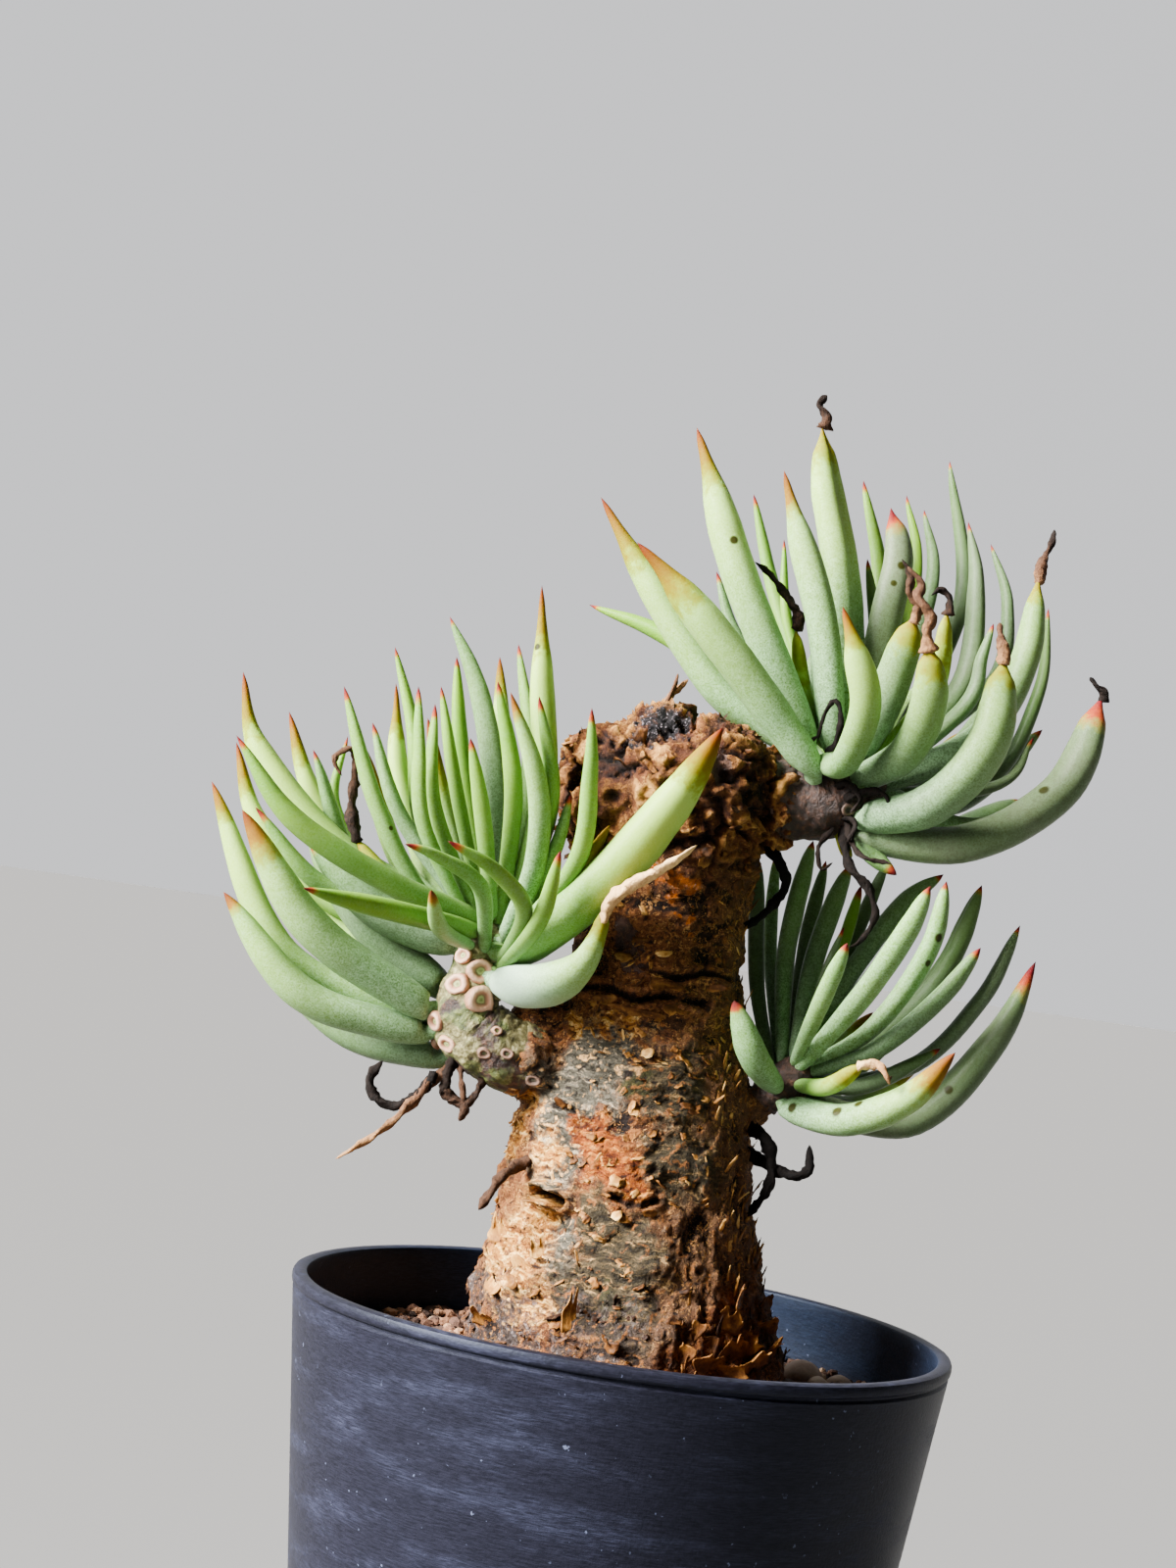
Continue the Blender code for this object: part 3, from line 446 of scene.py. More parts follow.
# The caudex: one swollen woody stem with three short branches and a knobbly crown. Its skin is papery
# bark that tears and peels, silvery and gold where it is fresh, brown and black where it is old. Its
# hollows, creases and cracks are painted darker still, a painted shade.
TRUNK_DEPTH_RATIO = 0.9
BARK_ROUGHNESS = 0.9
TRUNK_OUTLINE = [
    (-134, -16, 32),
    (-127, -23, 38),
    (-119, -26, 39.5),
    (-110, -25.2, 37.6),
    (-100, -23, 34.6),
    (-90, -20, 33.8),
    (-80, -17.4, 33.4),
    (-70, -15.8, 33),
    (-60, -12, 32.6),
    (-52, -8.8, 32.2),
    (-42, -5.2, 32),
    (-31, -2.4, 32.2),
    (-20, -2.6, 34),
    (-10, -4, 37),
    (-2, -6.4, 39.6),
    (4, -6.6, 39.4),
    (8.5, -3, 34),
    (11.5, 6, 27),
    (13.5, 12, 23),
]
BRANCHES = [
    [((6, -60, -1), 11), ((-3, -58, -2), 11), ((-8, -57, -4.5), 9.6), ((-13.6, -55.6, -7), 8.2), ((-15.5, -55, -7.8), 7.8)],
    [((22, -2, -1), 10), ((29, -2, -2), 10.5), ((35, -2.4, -2.4), 10), ((39.4, -3, -3), 9.0), ((41.5, -3.2, -3.2), 8.6)],
    [((18, -72, -1), 6), ((27, -70, -2), 5.4), ((32, -67, -3), 4.4), ((36.4, -63.8, -4), 3.4), ((37.6, -63, -4.2), 3.2)],
]
BURLS = [
    ((4.5, 4, -10), 7.0),
    ((15, 7.5, -8), 8.0),
    ((27, 5, -10), 8.0),
    ((30, -2, -10), 6.8),
    ((1.5, -4, -11), 6.5),
    ((12, 6, 9), 8.0),
    ((27, 5, 9), 7.5),
    ((3, 0, 9), 7.0),
    ((-9.5, -48.5, -5), 6.2),
]
TRUNK_BLANK = (72, 110)
LIMB_BLANK = (40, 36)
VOXEL = 0.72


def smooth_path(points, count):
    """Points evenly spaced in number along a smooth curve through the given ones."""
    ends = [points[0] * 2 - points[1]] + points + [points[-1] * 2 - points[-2]]
    curve = []
    for step in range(count):
        place = step / (count - 1) * (len(points) - 1)
        index = min(int(place), len(points) - 2)
        t = place - index
        a, b, c, d = ends[index:index + 4]
        bend = a * -1 + b * 3 - c * 3 + d
        curve.append(b + ((c - a) * t + (a * 2 - b * 5 + c * 4 - d) * t * t + bend * t ** 3) / 2)
    return curve


def round_blank(name, sides, rings):
    """A blank for what grows round a middle line: a ball whose rings are threaded on that line."""
    bpy.ops.object.select_all(action="DESELECT")
    bpy.ops.mesh.primitive_uv_sphere_add(segments=sides, ring_count=rings, radius=1)
    blank = bpy.context.object
    blank.name = name
    blank["rings"] = rings
    return blank


def ring_of(vert, rings):
    """Which ring of a round blank a point is on, from 0 at the foot, and the point's angle."""
    polar = math.acos(max(-1, min(1, vert.co.z)))
    return round((1 - polar / math.pi) * rings), math.atan2(vert.co.y, vert.co.x)


def shaped(blank, name, surface):
    """A copy of a round blank whose points lie where surface(share of its height, angle) says."""
    mesh = blank.data.copy()
    rings = blank["rings"]
    for vert in mesh.vertices:
        ring, angle = ring_of(vert, rings)
        vert.co = surface(ring / rings, angle) * MM
    item = bpy.data.objects.new(name, mesh)
    bpy.context.scene.collection.objects.link(item)
    return item


def threaded(blank, name, curve, facing, section, crowding=0.0):
    """A copy of a round blank with its rings threaded on a curve, and each point's length along it.

    section(length, cosine, sine) gives how far across and up from the curve a point lies. Crowding
    draws the rings towards both ends.
    """
    lengths = [0.0]
    for start, end in zip(curve, curve[1:]):
        lengths.append(lengths[-1] + (end - start).length)
    rings = blank["rings"]
    frames = []
    across = None
    for ring in range(rings + 1):
        share = ring / rings - crowding * math.sin(math.tau * ring / rings)
        wanted = share * lengths[-1]
        index = min(max(bisect.bisect_left(lengths, wanted), 1), len(curve) - 1)
        step = lengths[index] - lengths[index - 1]
        centre = curve[index - 1].lerp(curve[index], (wanted - lengths[index - 1]) / step)
        ahead = (curve[min(index + 1, len(curve) - 1)] - curve[max(index - 2, 0)]).normalized()
        if across is None:
            across = ahead.cross(facing)
        across = (across - ahead * across.dot(ahead)).normalized()
        frames.append((centre, across, across.cross(ahead), wanted))
    mesh = blank.data.copy()
    spans = []
    for vert in mesh.vertices:
        ring, angle = ring_of(vert, rings)
        centre, across, up, length = frames[ring]
        sideways, upward = (0, 0)
        if 0 < ring < rings:
            sideways, upward = section(length, math.cos(angle), math.sin(angle))
        vert.co = (centre + across * sideways + up * upward) * MM
        spans.append(length)
    mesh.flip_normals()
    item = bpy.data.objects.new(name, mesh)
    bpy.context.scene.collection.objects.link(item)
    return item, spans, lengths[-1]


def eased(value, low, high):
    """0 below low, 1 above high and a smooth step between."""
    t = min(max((value - low) / (high - low), 0), 1)
    return t * t * (3 - 2 * t)


outline_curve = smooth_path([Vector(row) for row in TRUNK_OUTLINE], 200)


def bark(share, angle, lift=0.0):
    """A point of the trunk's surface at a share of its height, with the folds of the construction."""
    above, left, right = outline_curve[round(share * (len(outline_curve) - 1))]
    half = (right - left) / 2
    centre = sight((left + right) / 2, above, 0)
    out = SIGHT_RIGHT * math.cos(angle) + SIGHT_AHEAD * (TRUNK_DEPTH_RATIO * math.sin(angle))
    seed = centre + out * half
    folds = noise.noise(seed * 0.09) + 0.6 * noise.noise(seed * 0.24)
    crown = min(max((share - 0.68) * 6, 0), 1)
    buried = min(max((share - 0.1) * 8, 0), 1)
    return centre + out * (half + folds * BARK_ROUGHNESS * (1 + 1.6 * crown) * buried + lift)


def trunk_surface(share, angle):
    """The trunk on its blank: the foot and the top close over, the side follows the bark."""
    foot_share = min(share / 0.06, 1)
    top_share = min((1 - share) / 0.08, 1)
    side = min(max((share - 0.06) / 0.86, 0), 1)
    skin = bark(side, angle)
    middle = sight(*((outline_curve[round(side * 199)].y + outline_curve[round(side * 199)].z) / 2,
                     outline_curve[round(side * 199)].x, 0))
    closing = min(foot_share, math.sin(top_share * math.pi / 2))
    dome = SIGHT_UP * (2.2 * math.cos(top_share * math.pi / 2))
    return middle + (skin - middle) * closing + dome


trunk_blank = round_blank("trunk_blank", *TRUNK_BLANK)
limb_blank = round_blank("limb_blank", *LIMB_BLANK)
body = [shaped(trunk_blank, "trunk_core", trunk_surface)]
for points in BRANCHES:
    curve = smooth_path([sight(*point) for point, radius in points], 24)
    radii = [Vector((radius, 0, 0)) for point, radius in points]
    swelling = smooth_path(radii, 60)

    def branch_section(length, cosine, sine, swelling=swelling, curve=curve):
        """A branch is round and as thick as its points say."""
        reach = sum((end - start).length for start, end in zip(curve, curve[1:]))
        radius = swelling[min(int(length / reach * 59), 59)].x
        return radius * cosine, radius * sine

    body.append(threaded(limb_blank, "branch", curve, Vector((0, -1, 0)), branch_section, 0.1)[0])
for spot, radius in BURLS:
    middle = sight(*spot)

    def burl_surface(share, angle, middle=middle, radius=radius, spot=spot):
        """A burl is a ball knocked out of round."""
        level = -math.cos(share * math.pi)
        ring = math.sin(share * math.pi)
        ball = Vector((ring * math.cos(angle), ring * math.sin(angle), level)) * radius
        return middle + ball * (1 + 0.16 * noise.noise(ball * 0.35 + Vector(spot)))

    body.append(shaped(limb_blank, "burl", burl_surface))
bpy.ops.object.select_all(action="DESELECT")
for item in body:
    item.select_set(True)
bpy.context.view_layer.objects.active = body[0]
bpy.ops.object.join()
caudex = bpy.context.object
caudex.name = "caudex"
remesh = caudex.modifiers.new("skin", "REMESH")
remesh.mode = "VOXEL"
remesh.voxel_size = VOXEL * MM
bpy.ops.object.modifier_apply(modifier="skin")
smoothing = caudex.modifiers.new("ease", "SMOOTH")
smoothing.iterations = 3
bpy.ops.object.modifier_apply(modifier="ease")


def skin_tree(item):
    """A search tree over an object's surface, to lay things on it."""
    mesh = item.data
    return BVHTree.FromPolygons([vert.co.copy() for vert in mesh.vertices],
                                [list(face.vertices) for face in mesh.polygons])


def seen_on(skin, right, above):
    """Where the line of sight through a place of the view meets a surface, and the normal there."""
    ray = SIGHT_AHEAD * SHEET + SIGHT_RIGHT * right + SIGHT_UP * above
    spot, normal, face, distance = skin.ray_cast(EYE * MM, ray.normalized())
    return (spot / MM, normal) if spot else (None, None)


smooth_skin = skin_tree(caudex)
CREASES = [
    ([(-3, -41.5), (4, -41.6), (10, -44.0), (16, -43.4), (24, -45)], 1.0, 1.7),
    ([(11, -37.2), (18, -39.4), (24, -38.6), (29, -40)], 0.9, 1.0),
    ([(-10.2, -83.0), (-7.8, -84.2), (-5.0, -85.6)], 1.1, 1.8),
    ([(-7, -65.5), (-2, -67)], 0.8, 0.5),
    ([(5, -84), (9, -86), (14, -85)], 0.8, 0.8),
]
KNOTS = [((5.2, -2.6), 2.6), ((13.2, -78.8), 1.8), ((22.6, -99.6), 1.6), ((9, -85.6), 1.7), ((22, 3), 3.2)]
PITCH_PATCHES = [((16.6, 11.8), 5.0), ((10.4, 9.8), 3.2), ((-4.6, 4), 2.6)]
crease_points = []
for line, width, depth in CREASES:
    hits = [seen_on(smooth_skin, *spot)[0] for spot in line]
    for spot in smooth_path(hits, 26):
        crease_points.append((spot, width, depth))
knot_points = [(seen_on(smooth_skin, *spot)[0], radius) for spot, radius in KNOTS]
pitch_points = [(seen_on(smooth_skin, *spot)[0], radius) for spot, radius in PITCH_PATCHES]
crown_foot = sight(15, -24, -20).z
crown_full = sight(15, -8, -20).z
crown_middle = sight(15, 2, 0)
soil_line = SOIL_LEVEL


def bark_relief(spot):
    """How far the bark stands out at a place, how ridged, how much of the crown, how torn, and its painted shade in
    cracks.
    """
    crown = eased(spot.z, crown_foot, crown_full)
    bend = Vector((noise.noise(spot * 0.11), noise.noise(spot * 0.11 + Vector((31, 0, 0))), 0)) * 5
    bend += Vector((noise.noise(spot * 0.3 + Vector((0, 9, 4))), 0, noise.noise(spot * 0.3))) * 2.4
    folded = (spot + bend) * 0.15
    folded.z *= 1.25
    lobe = min(abs(noise.noise(folded)) * 3.4, 1) ** 0.75
    lesser = min(abs(noise.noise(folded * 2.4 + Vector((7, 3, 1)))) * 3.4, 1) ** 0.8
    rag = max(1 - abs(noise.noise(folded * 1.5 + Vector((2, 8, 5)))) * 4.5, 0) ** 2
    crown_height = 1.9 * lobe + 0.8 * lesser * (0.3 + lobe) + 1.3 * rag - 1.8
    crown_height += 0.5 * noise.noise(spot * 0.6) + 0.25 * noise.noise(spot * 1.9)
    for centre, radius in pitch_points:
        tarry = math.exp(-((spot - centre).length / radius) ** 4)
        chunks = min(abs(noise.noise(spot * 0.62 + Vector((5, 2, 8)))) * 3.2, 1) ** 0.7
        chunks += 0.6 * noise.noise(spot * 1.9)
        crown_height += tarry * (chunks * 1.5 - 0.6 - crown_height * 0.6)
    upright = Vector((spot.x, spot.y, spot.z * 0.4))
    level = Vector((spot.x * 0.7, spot.y * 0.7, spot.z * 1.5))
    old_side = eased(spot.x + 0.4 * abs(spot.y), 10, 22)
    layers = noise.noise(level * 0.13) + 0.55 * noise.noise(level * 0.33)
    layers = layers * (1 - old_side) + old_side * (noise.noise(upright * 0.22) + 0.6 * noise.noise(upright * 0.5))
    layers = layers * 3.4 + 20
    part = layers % 1
    torn = math.exp(-((part - 0.17) / 0.12) ** 2)
    # Painted shade: this darkens the step under each torn layer's edge; the creases and knot holes below add to it.
    crack_shade = 0.85 * max(math.exp(-(part / 0.05) ** 2), math.exp(-((1 - part) / 0.07) ** 2)) * (1 - crown)
    side_height = (int(layers) + eased(part, 0.0, 0.16) - part * 0.85 - 20) * 0.42
    side_height += noise.noise(spot * 0.9) * 0.22 + noise.noise(upright * 1.6) * 0.2 * old_side
    height = side_height * (1 - crown) + crown_height * crown
    for centre, width, depth in crease_points:
        away = (spot - centre).length
        if away < width * 3:
            crack_shade = max(crack_shade, math.exp(-(away / width / 0.8) ** 2))
            height -= depth * math.exp(-(away / width) ** 2)
            height += 0.35 * depth * math.exp(-((away - width * 1.7) / (width * 0.5)) ** 2)
    for centre, radius in knot_points:
        away = (spot - centre).length / radius * (1 + 0.3 * noise.noise(spot * 0.45))
        if away < 2.4:
            crack_shade = max(crack_shade, math.exp(-(away / 0.42) ** 2))
            height = height * eased(away, 0.8, 2.2)
            height += radius * 0.34 * (math.exp(-((away - 0.85) / 0.3) ** 2) - 1.1 * math.exp(-(away / 0.4) ** 2))
    return height, min(max(0.5 + height * 0.30, 0), 1), crown, torn * (1 - crown), crack_shade


reliefs = []
crowns = []
tears = []
crack_shades = []
mesh = caudex.data
places = [vert.co / MM for vert in mesh.vertices]
normals = [vert.normal.copy() for vert in mesh.vertices]
for vert, spot, normal in zip(mesh.vertices, places, normals):
    height, ridged, crown, torn, crack_shade = bark_relief(spot)
    vert.co += normal * height * MM
    reliefs.append(ridged)
    crowns.append(crown)
    tears.append(torn)
    crack_shades.append(crack_shade)
set_values(mesh, "crack_shade", crack_shades)
set_values(mesh, "lee", [eased(spot.x + 0.4 * abs(spot.y), 6, 20) for spot in places])
set_values(mesh, "relief", reliefs)
set_values(mesh, "crown", crowns)
set_values(mesh, "torn", tears)


def patch_group():
    """A shader group: how much a place is inside a ragged patch round a centre, from 0 to 1."""
    group = bpy.data.node_groups.new("ragged patch", "ShaderNodeTree")
    group.interface.new_socket("Place", in_out="INPUT", socket_type="NodeSocketVector")
    group.interface.new_socket("Centre", in_out="INPUT", socket_type="NodeSocketVector")
    group.interface.new_socket("Squash", in_out="INPUT", socket_type="NodeSocketVector")
    group.interface.new_socket("Radius", in_out="INPUT", socket_type="NodeSocketFloat")
    group.interface.new_socket("Edge", in_out="INPUT", socket_type="NodeSocketFloat")
    group.interface.new_socket("Mask", in_out="OUTPUT", socket_type="NodeSocketFloat")
    given = group.nodes.new("NodeGroupInput").outputs
    away = add_node(group, "VectorMath", {0: given["Place"], 1: given["Centre"]}, operation="SUBTRACT").outputs[0]
    away = add_node(group, "VectorMath", {0: away, 1: given["Squash"]}, operation="MULTIPLY").outputs[0]
    away = add_node(group, "VectorMath", {0: away}, operation="LENGTH").outputs["Value"]
    inner = maths(group, "MULTIPLY", given["Radius"], maths(group, "SUBTRACT", 1.0, given["Edge"]))
    outer = maths(group, "MULTIPLY", given["Radius"], maths(group, "ADD", 1.0, given["Edge"]))
    mask = stretch(group, away, inner, outer, 1.0, 0.0)
    result = group.nodes.new("NodeGroupOutput")
    group.links.new(mask, result.inputs["Mask"])
    return group


ragged_patch = patch_group()


def patch(tree, place, centre, radius, edge=0.25, squash=(1, 1, 1)):
    """The mask of a ragged patch round a place given in millimetres."""
    item = tree.nodes.new("ShaderNodeGroup")
    item.node_tree = ragged_patch
    tree.links.new(place, item.inputs["Place"])
    item.inputs["Centre"].default_value = centre * MM
    item.inputs["Squash"].default_value = squash
    item.inputs["Radius"].default_value = radius * MM
    item.inputs["Edge"].default_value = edge
    return item.outputs["Mask"]


def either(tree, masks):
    """The strongest of several masks."""
    whole = masks[0]
    for mask in masks[1:]:
        whole = maths(tree, "MAXIMUM", whole, mask)
    return whole


# Where the bark has its own colours: places in the view, and a radius.
SILVER_PATCHES = [((-2, -61), 9.5), ((2.4, -55.5), 7.5), ((-5, -70), 7), ((-7.4, -79.6), 6.5), ((-7, -95), 4.5)]
DULL_PATCHES = [((-1, -104), 8), ((8, -97), 8.5), ((6, -108), 8), ((2, -90), 6), ((18, -62), 8), ((20, -78), 8)]
GOLD_PATCHES = [((-16, -97), 9), ((-10, -86.6), 5.5), ((-13, -105), 6), ((-12.6, -64), 4.6), ((-15, -72), 5),
                ((-9, -76), 4), ((-2, -48.6), 3.2), ((4, -49), 3.0), ((10, -48.4), 2.6)]
MOSS_PATCHES = [((9.8, -62), 3.4), ((5, -106), 3.6)]
RAW_PATCHES = [((4, -77), 6.0), ((0.5, -71.5), 4.0), ((9, -80), 4.0)]
RUST_PATCHES = [((29, -115), 10), ((34, -106), 6), ((20, -121), 7)]
GLOSS_PATCHES = [((18, -20.4), 3.0), ((14, -18.5), 2.2), ((20, -27.6), 1.6)]
SMOOTH_PATCHES = [((7.6, -31), 3.8), ((8.6, -37.6), 2.8), ((26.0, 3.6), 3.4)]

rough_skin = skin_tree(caudex)


def seen_patches(tree, place, patches, edge=0.3):
    """One mask for patches given by their places in the view."""
    masks = []
    for spot, radius in patches:
        masks.append(patch(tree, place, seen_on(smooth_skin, *spot)[0], radius, edge))
    return either(tree, masks)


bark_skin, tree, shader, place = new_material("bark", 0.78)
relief = add_node(tree, "Attribute", attribute_name="relief").outputs["Fac"]
crown = add_node(tree, "Attribute", attribute_name="crown").outputs["Fac"]
drift = add_node(tree, "TexNoise", {"Vector": place, "Scale": 210.0, "Detail": 4.0, "Roughness": 0.6})
drift = add_node(tree, "VectorMath", {0: drift.outputs["Color"], 1: (0.5, 0.5, 0.5)}, operation="SUBTRACT")
drift = add_node(tree, "VectorMath", {0: drift.outputs[0], "Scale": 0.016}, operation="SCALE").outputs[0]
drifted = add_node(tree, "VectorMath", {0: place, 1: drift}, operation="ADD").outputs[0]
height = add_node(tree, "SeparateXYZ", {0: drifted}).outputs["Z"]
fibre = cloud(tree, drifted, 620, 5, 0.68, (1, 1, 0.32))
blotch = cloud(tree, drifted, 150, 4, 0.6)
fine = cloud(tree, place, 1700, 4, 0.7)
ticks = cloud(tree, drifted, 950, 2, 0.5, (1, 1, 0.22))
drift = add_node(tree, "VectorMath", {0: drift, "Scale": 0.3}, operation="SCALE").outputs[0]
calm = add_node(tree, "VectorMath", {0: place, 1: drift}, operation="ADD").outputs[0]
dashes = cloud(tree, calm, 640, 4, 0.66, (0.36, 0.36, 1.7))
old = ramp(tree, fibre, (0.26, (0.034, 0.014, 0.006)), (0.44, (0.080, 0.035, 0.014)), (0.58, (0.11, 0.052, 0.021)),
           (0.72, (0.26, 0.13, 0.045)))
silver = ramp(tree, dashes, (0.30, (0.012, 0.010, 0.006)), (0.44, (0.046, 0.041, 0.028)), (0.56, (0.100, 0.088, 0.064)),
              (0.68, (0.46, 0.36, 0.23)))
dull = ramp(tree, dashes, (0.34, (0.009, 0.006, 0.002)), (0.46, (0.027, 0.020, 0.009)), (0.57, (0.066, 0.045, 0.020)),
            (0.67, (0.40, 0.24, 0.09)))
sunny = ramp(tree, fibre, (0.28, (0.014, 0.004, 0.001)), (0.44, (0.070, 0.021, 0.005)), (0.58, (0.17, 0.058, 0.014)),
             (0.76, (0.38, 0.17, 0.050)))
gold = ramp(tree, dashes, (0.32, (0.035, 0.009, 0.001)), (0.43, (0.21, 0.070, 0.009)), (0.54, (0.46, 0.20, 0.030)),
            (0.66, (0.86, 0.58, 0.20)))
moss = ramp(tree, fibre, (0.30, (0.006, 0.006, 0.001)), (0.55, (0.026, 0.024, 0.005)), (0.75, (0.10, 0.070, 0.018)))
raw = ramp(tree, dashes, (0.30, (0.014, 0.002, 0.0)), (0.42, (0.09, 0.015, 0.0)), (0.54, (0.25, 0.058, 0.002)),
           (0.68, (0.56, 0.22, 0.030)))
rust = ramp(tree, fibre, (0.30, (0.014, 0.003, 0.001)), (0.52, (0.085, 0.024, 0.004)), (0.74, (0.26, 0.095, 0.018)))
crust = ramp(tree, fibre, (0.36, (0.006, 0.003, 0.002)), (0.48, (0.020, 0.013, 0.011)), (0.58, (0.045, 0.034, 0.033)),
             (0.72, (0.24, 0.20, 0.20)))
smooth_grey = (0.030, 0.017, 0.015, 1)
gloss = (0.34, 0.080, 0.002, 1)
# Pitch is black; its sparse pale purple-grey spots are painted glints.
pitch_and_glints = ramp(tree, fine, (0.40, (0.001, 0.001, 0.001)), (0.58, (0.010, 0.008, 0.010)), (0.70, (0.34, 0.29, 0.32)))
torn = add_node(tree, "Attribute", attribute_name="torn").outputs["Fac"]
silver_mask = seen_patches(tree, drifted, SILVER_PATCHES)
gold_mask = seen_patches(tree, drifted, GOLD_PATCHES)
elsewhere = stretch(tree, blotch, 0.54, 0.60)
low = stretch(tree, height, 0.160, 0.178, 1.0, 0.0)
lee = add_node(tree, "Attribute", attribute_name="lee").outputs["Fac"]
elsewhere = maths(tree, "MULTIPLY", elsewhere, maths(tree, "MULTIPLY", low, maths(tree, "SUBTRACT", 1.0, lee)))
tick = stretch(tree, ticks, 0.57, 0.63)
# Painted shade: the bark goes nearly black in its hollows, where the relief is low.
colour = mixed(tree, stretch(tree, relief, 0.25, 0.5), (0.004, 0.001, 0.0, 1), mixed(tree, lee, sunny, old))
colour = mixed(tree, maths(tree, "MULTIPLY", tick, 0.75), colour, (0.42, 0.20, 0.055, 1))
colour = mixed(tree, maths(tree, "MULTIPLY", elsewhere, 0.75), colour, silver)
colour = mixed(tree, seen_patches(tree, drifted, DULL_PATCHES), colour, dull)
colour = mixed(tree, seen_patches(tree, drifted, MOSS_PATCHES), colour, moss)
colour = mixed(tree, silver_mask, colour, silver)
colour = mixed(tree, gold_mask, colour, gold)
colour = mixed(tree, seen_patches(tree, drifted, RAW_PATCHES), colour, raw)
crusted = maths(tree, "MULTIPLY", stretch(tree, height, 0.115, 0.125, 1.0, 0.0), stretch(tree, blotch, 0.38, 0.56))
crusted = maths(tree, "MULTIPLY", crusted, stretch(tree, lee, 0.0, 1.0, 0.95, 0.45))
colour = mixed(tree, crusted, colour, crust)
colour = mixed(tree, seen_patches(tree, drifted, RUST_PATCHES), colour, rust)
edge_tone = mixed(tree, either(tree, [silver_mask, gold_mask]), (0.20, 0.070, 0.014, 1), (0.74, 0.42, 0.15, 1))
broken = stretch(tree, cloud(tree, drifted, 500, 3, 0.6), 0.40, 0.56)
colour = mixed(tree, maths(tree, "MULTIPLY", stretch(tree, torn, 0.35, 0.85), broken), colour, edge_tone)
# Painted shade: cracks, creases, knot holes and the steps under torn layers go nearly black.
crack_shade = add_node(tree, "Attribute", attribute_name="crack_shade").outputs["Fac"]
colour = mixed(tree, maths(tree, "MULTIPLY", stretch(tree, crack_shade, 0.25, 0.7), 0.9), colour, (0.006, 0.002, 0.001, 1))
# The crown's colour follows its relief: near black in the hollows, a painted shade, and brown to gold on the ridges.
folds = ramp(tree, relief, (0.10, (0.003, 0.001, 0.0)), (0.36, (0.024, 0.007, 0.002)), (0.58, (0.085, 0.029, 0.006)),
             (0.80, (0.20, 0.080, 0.014)), (1.0, (0.46, 0.23, 0.055)))
dim = mixed(tree, 1.0, folds, (0.36, 0.25, 0.24, 1), "MULTIPLY")
folds = mixed(tree, stretch(tree, blotch, 0.43, 0.55), folds, dim)
folds = mixed(tree, maths(tree, "MULTIPLY", stretch(tree, fibre, 0.56, 0.72), 0.4), folds, (0.38, 0.17, 0.035, 1))
pitch_mask = seen_patches(tree, drifted, PITCH_PATCHES)
folds = mixed(tree, pitch_mask, folds, pitch_and_glints)
colour = mixed(tree, crown, colour, folds)
smooth_mask = seen_patches(tree, drifted, SMOOTH_PATCHES, 0.2)
colour = mixed(tree, maths(tree, "MULTIPLY", smooth_mask, 0.85), colour, smooth_grey)
gloss_mask = seen_patches(tree, drifted, GLOSS_PATCHES, 0.3)
colour = mixed(tree, gloss_mask, colour, gloss)
shadow = stretch(tree, fine, 0.25, 0.6, 0.55, 1.2)
colour = mixed(tree, 1.0, colour, shadow, "MULTIPLY")
tree.links.new(colour, shader.inputs["Base Color"])
shine = maths(tree, "ADD", maths(tree, "MULTIPLY", gloss_mask, 0.5), maths(tree, "MULTIPLY", smooth_mask, 0.25))
shine = maths(tree, "ADD", shine, maths(tree, "MULTIPLY", silver_mask, 0.22))
tree.links.new(maths(tree, "SUBTRACT", 0.74, shine, clamp=True), shader.inputs["Roughness"])
surface = maths(tree, "ADD", maths(tree, "MULTIPLY", fibre, 0.8), maths(tree, "MULTIPLY", fine, 0.4))
surface = maths(tree, "ADD", surface, maths(tree, "MULTIPLY", tick, 0.35))
surface = maths(tree, "ADD", surface, maths(tree, "MULTIPLY", dashes, 0.4))
surface = maths(tree, "MULTIPLY", surface, maths(tree, "SUBTRACT", 1.0, maths(tree, "MULTIPLY", smooth_mask, 0.7)))
bumped(tree, shader, surface, 1.0)
shader.inputs["Specular IOR Level"].default_value = 0.16
caudex.data.materials.append(bark_skin)
bpy.ops.object.select_all(action="DESELECT")
caudex.select_set(True)
bpy.context.view_layer.objects.active = caudex
bpy.ops.object.shade_smooth()
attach(caudex, ROOT)
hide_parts("trunk")

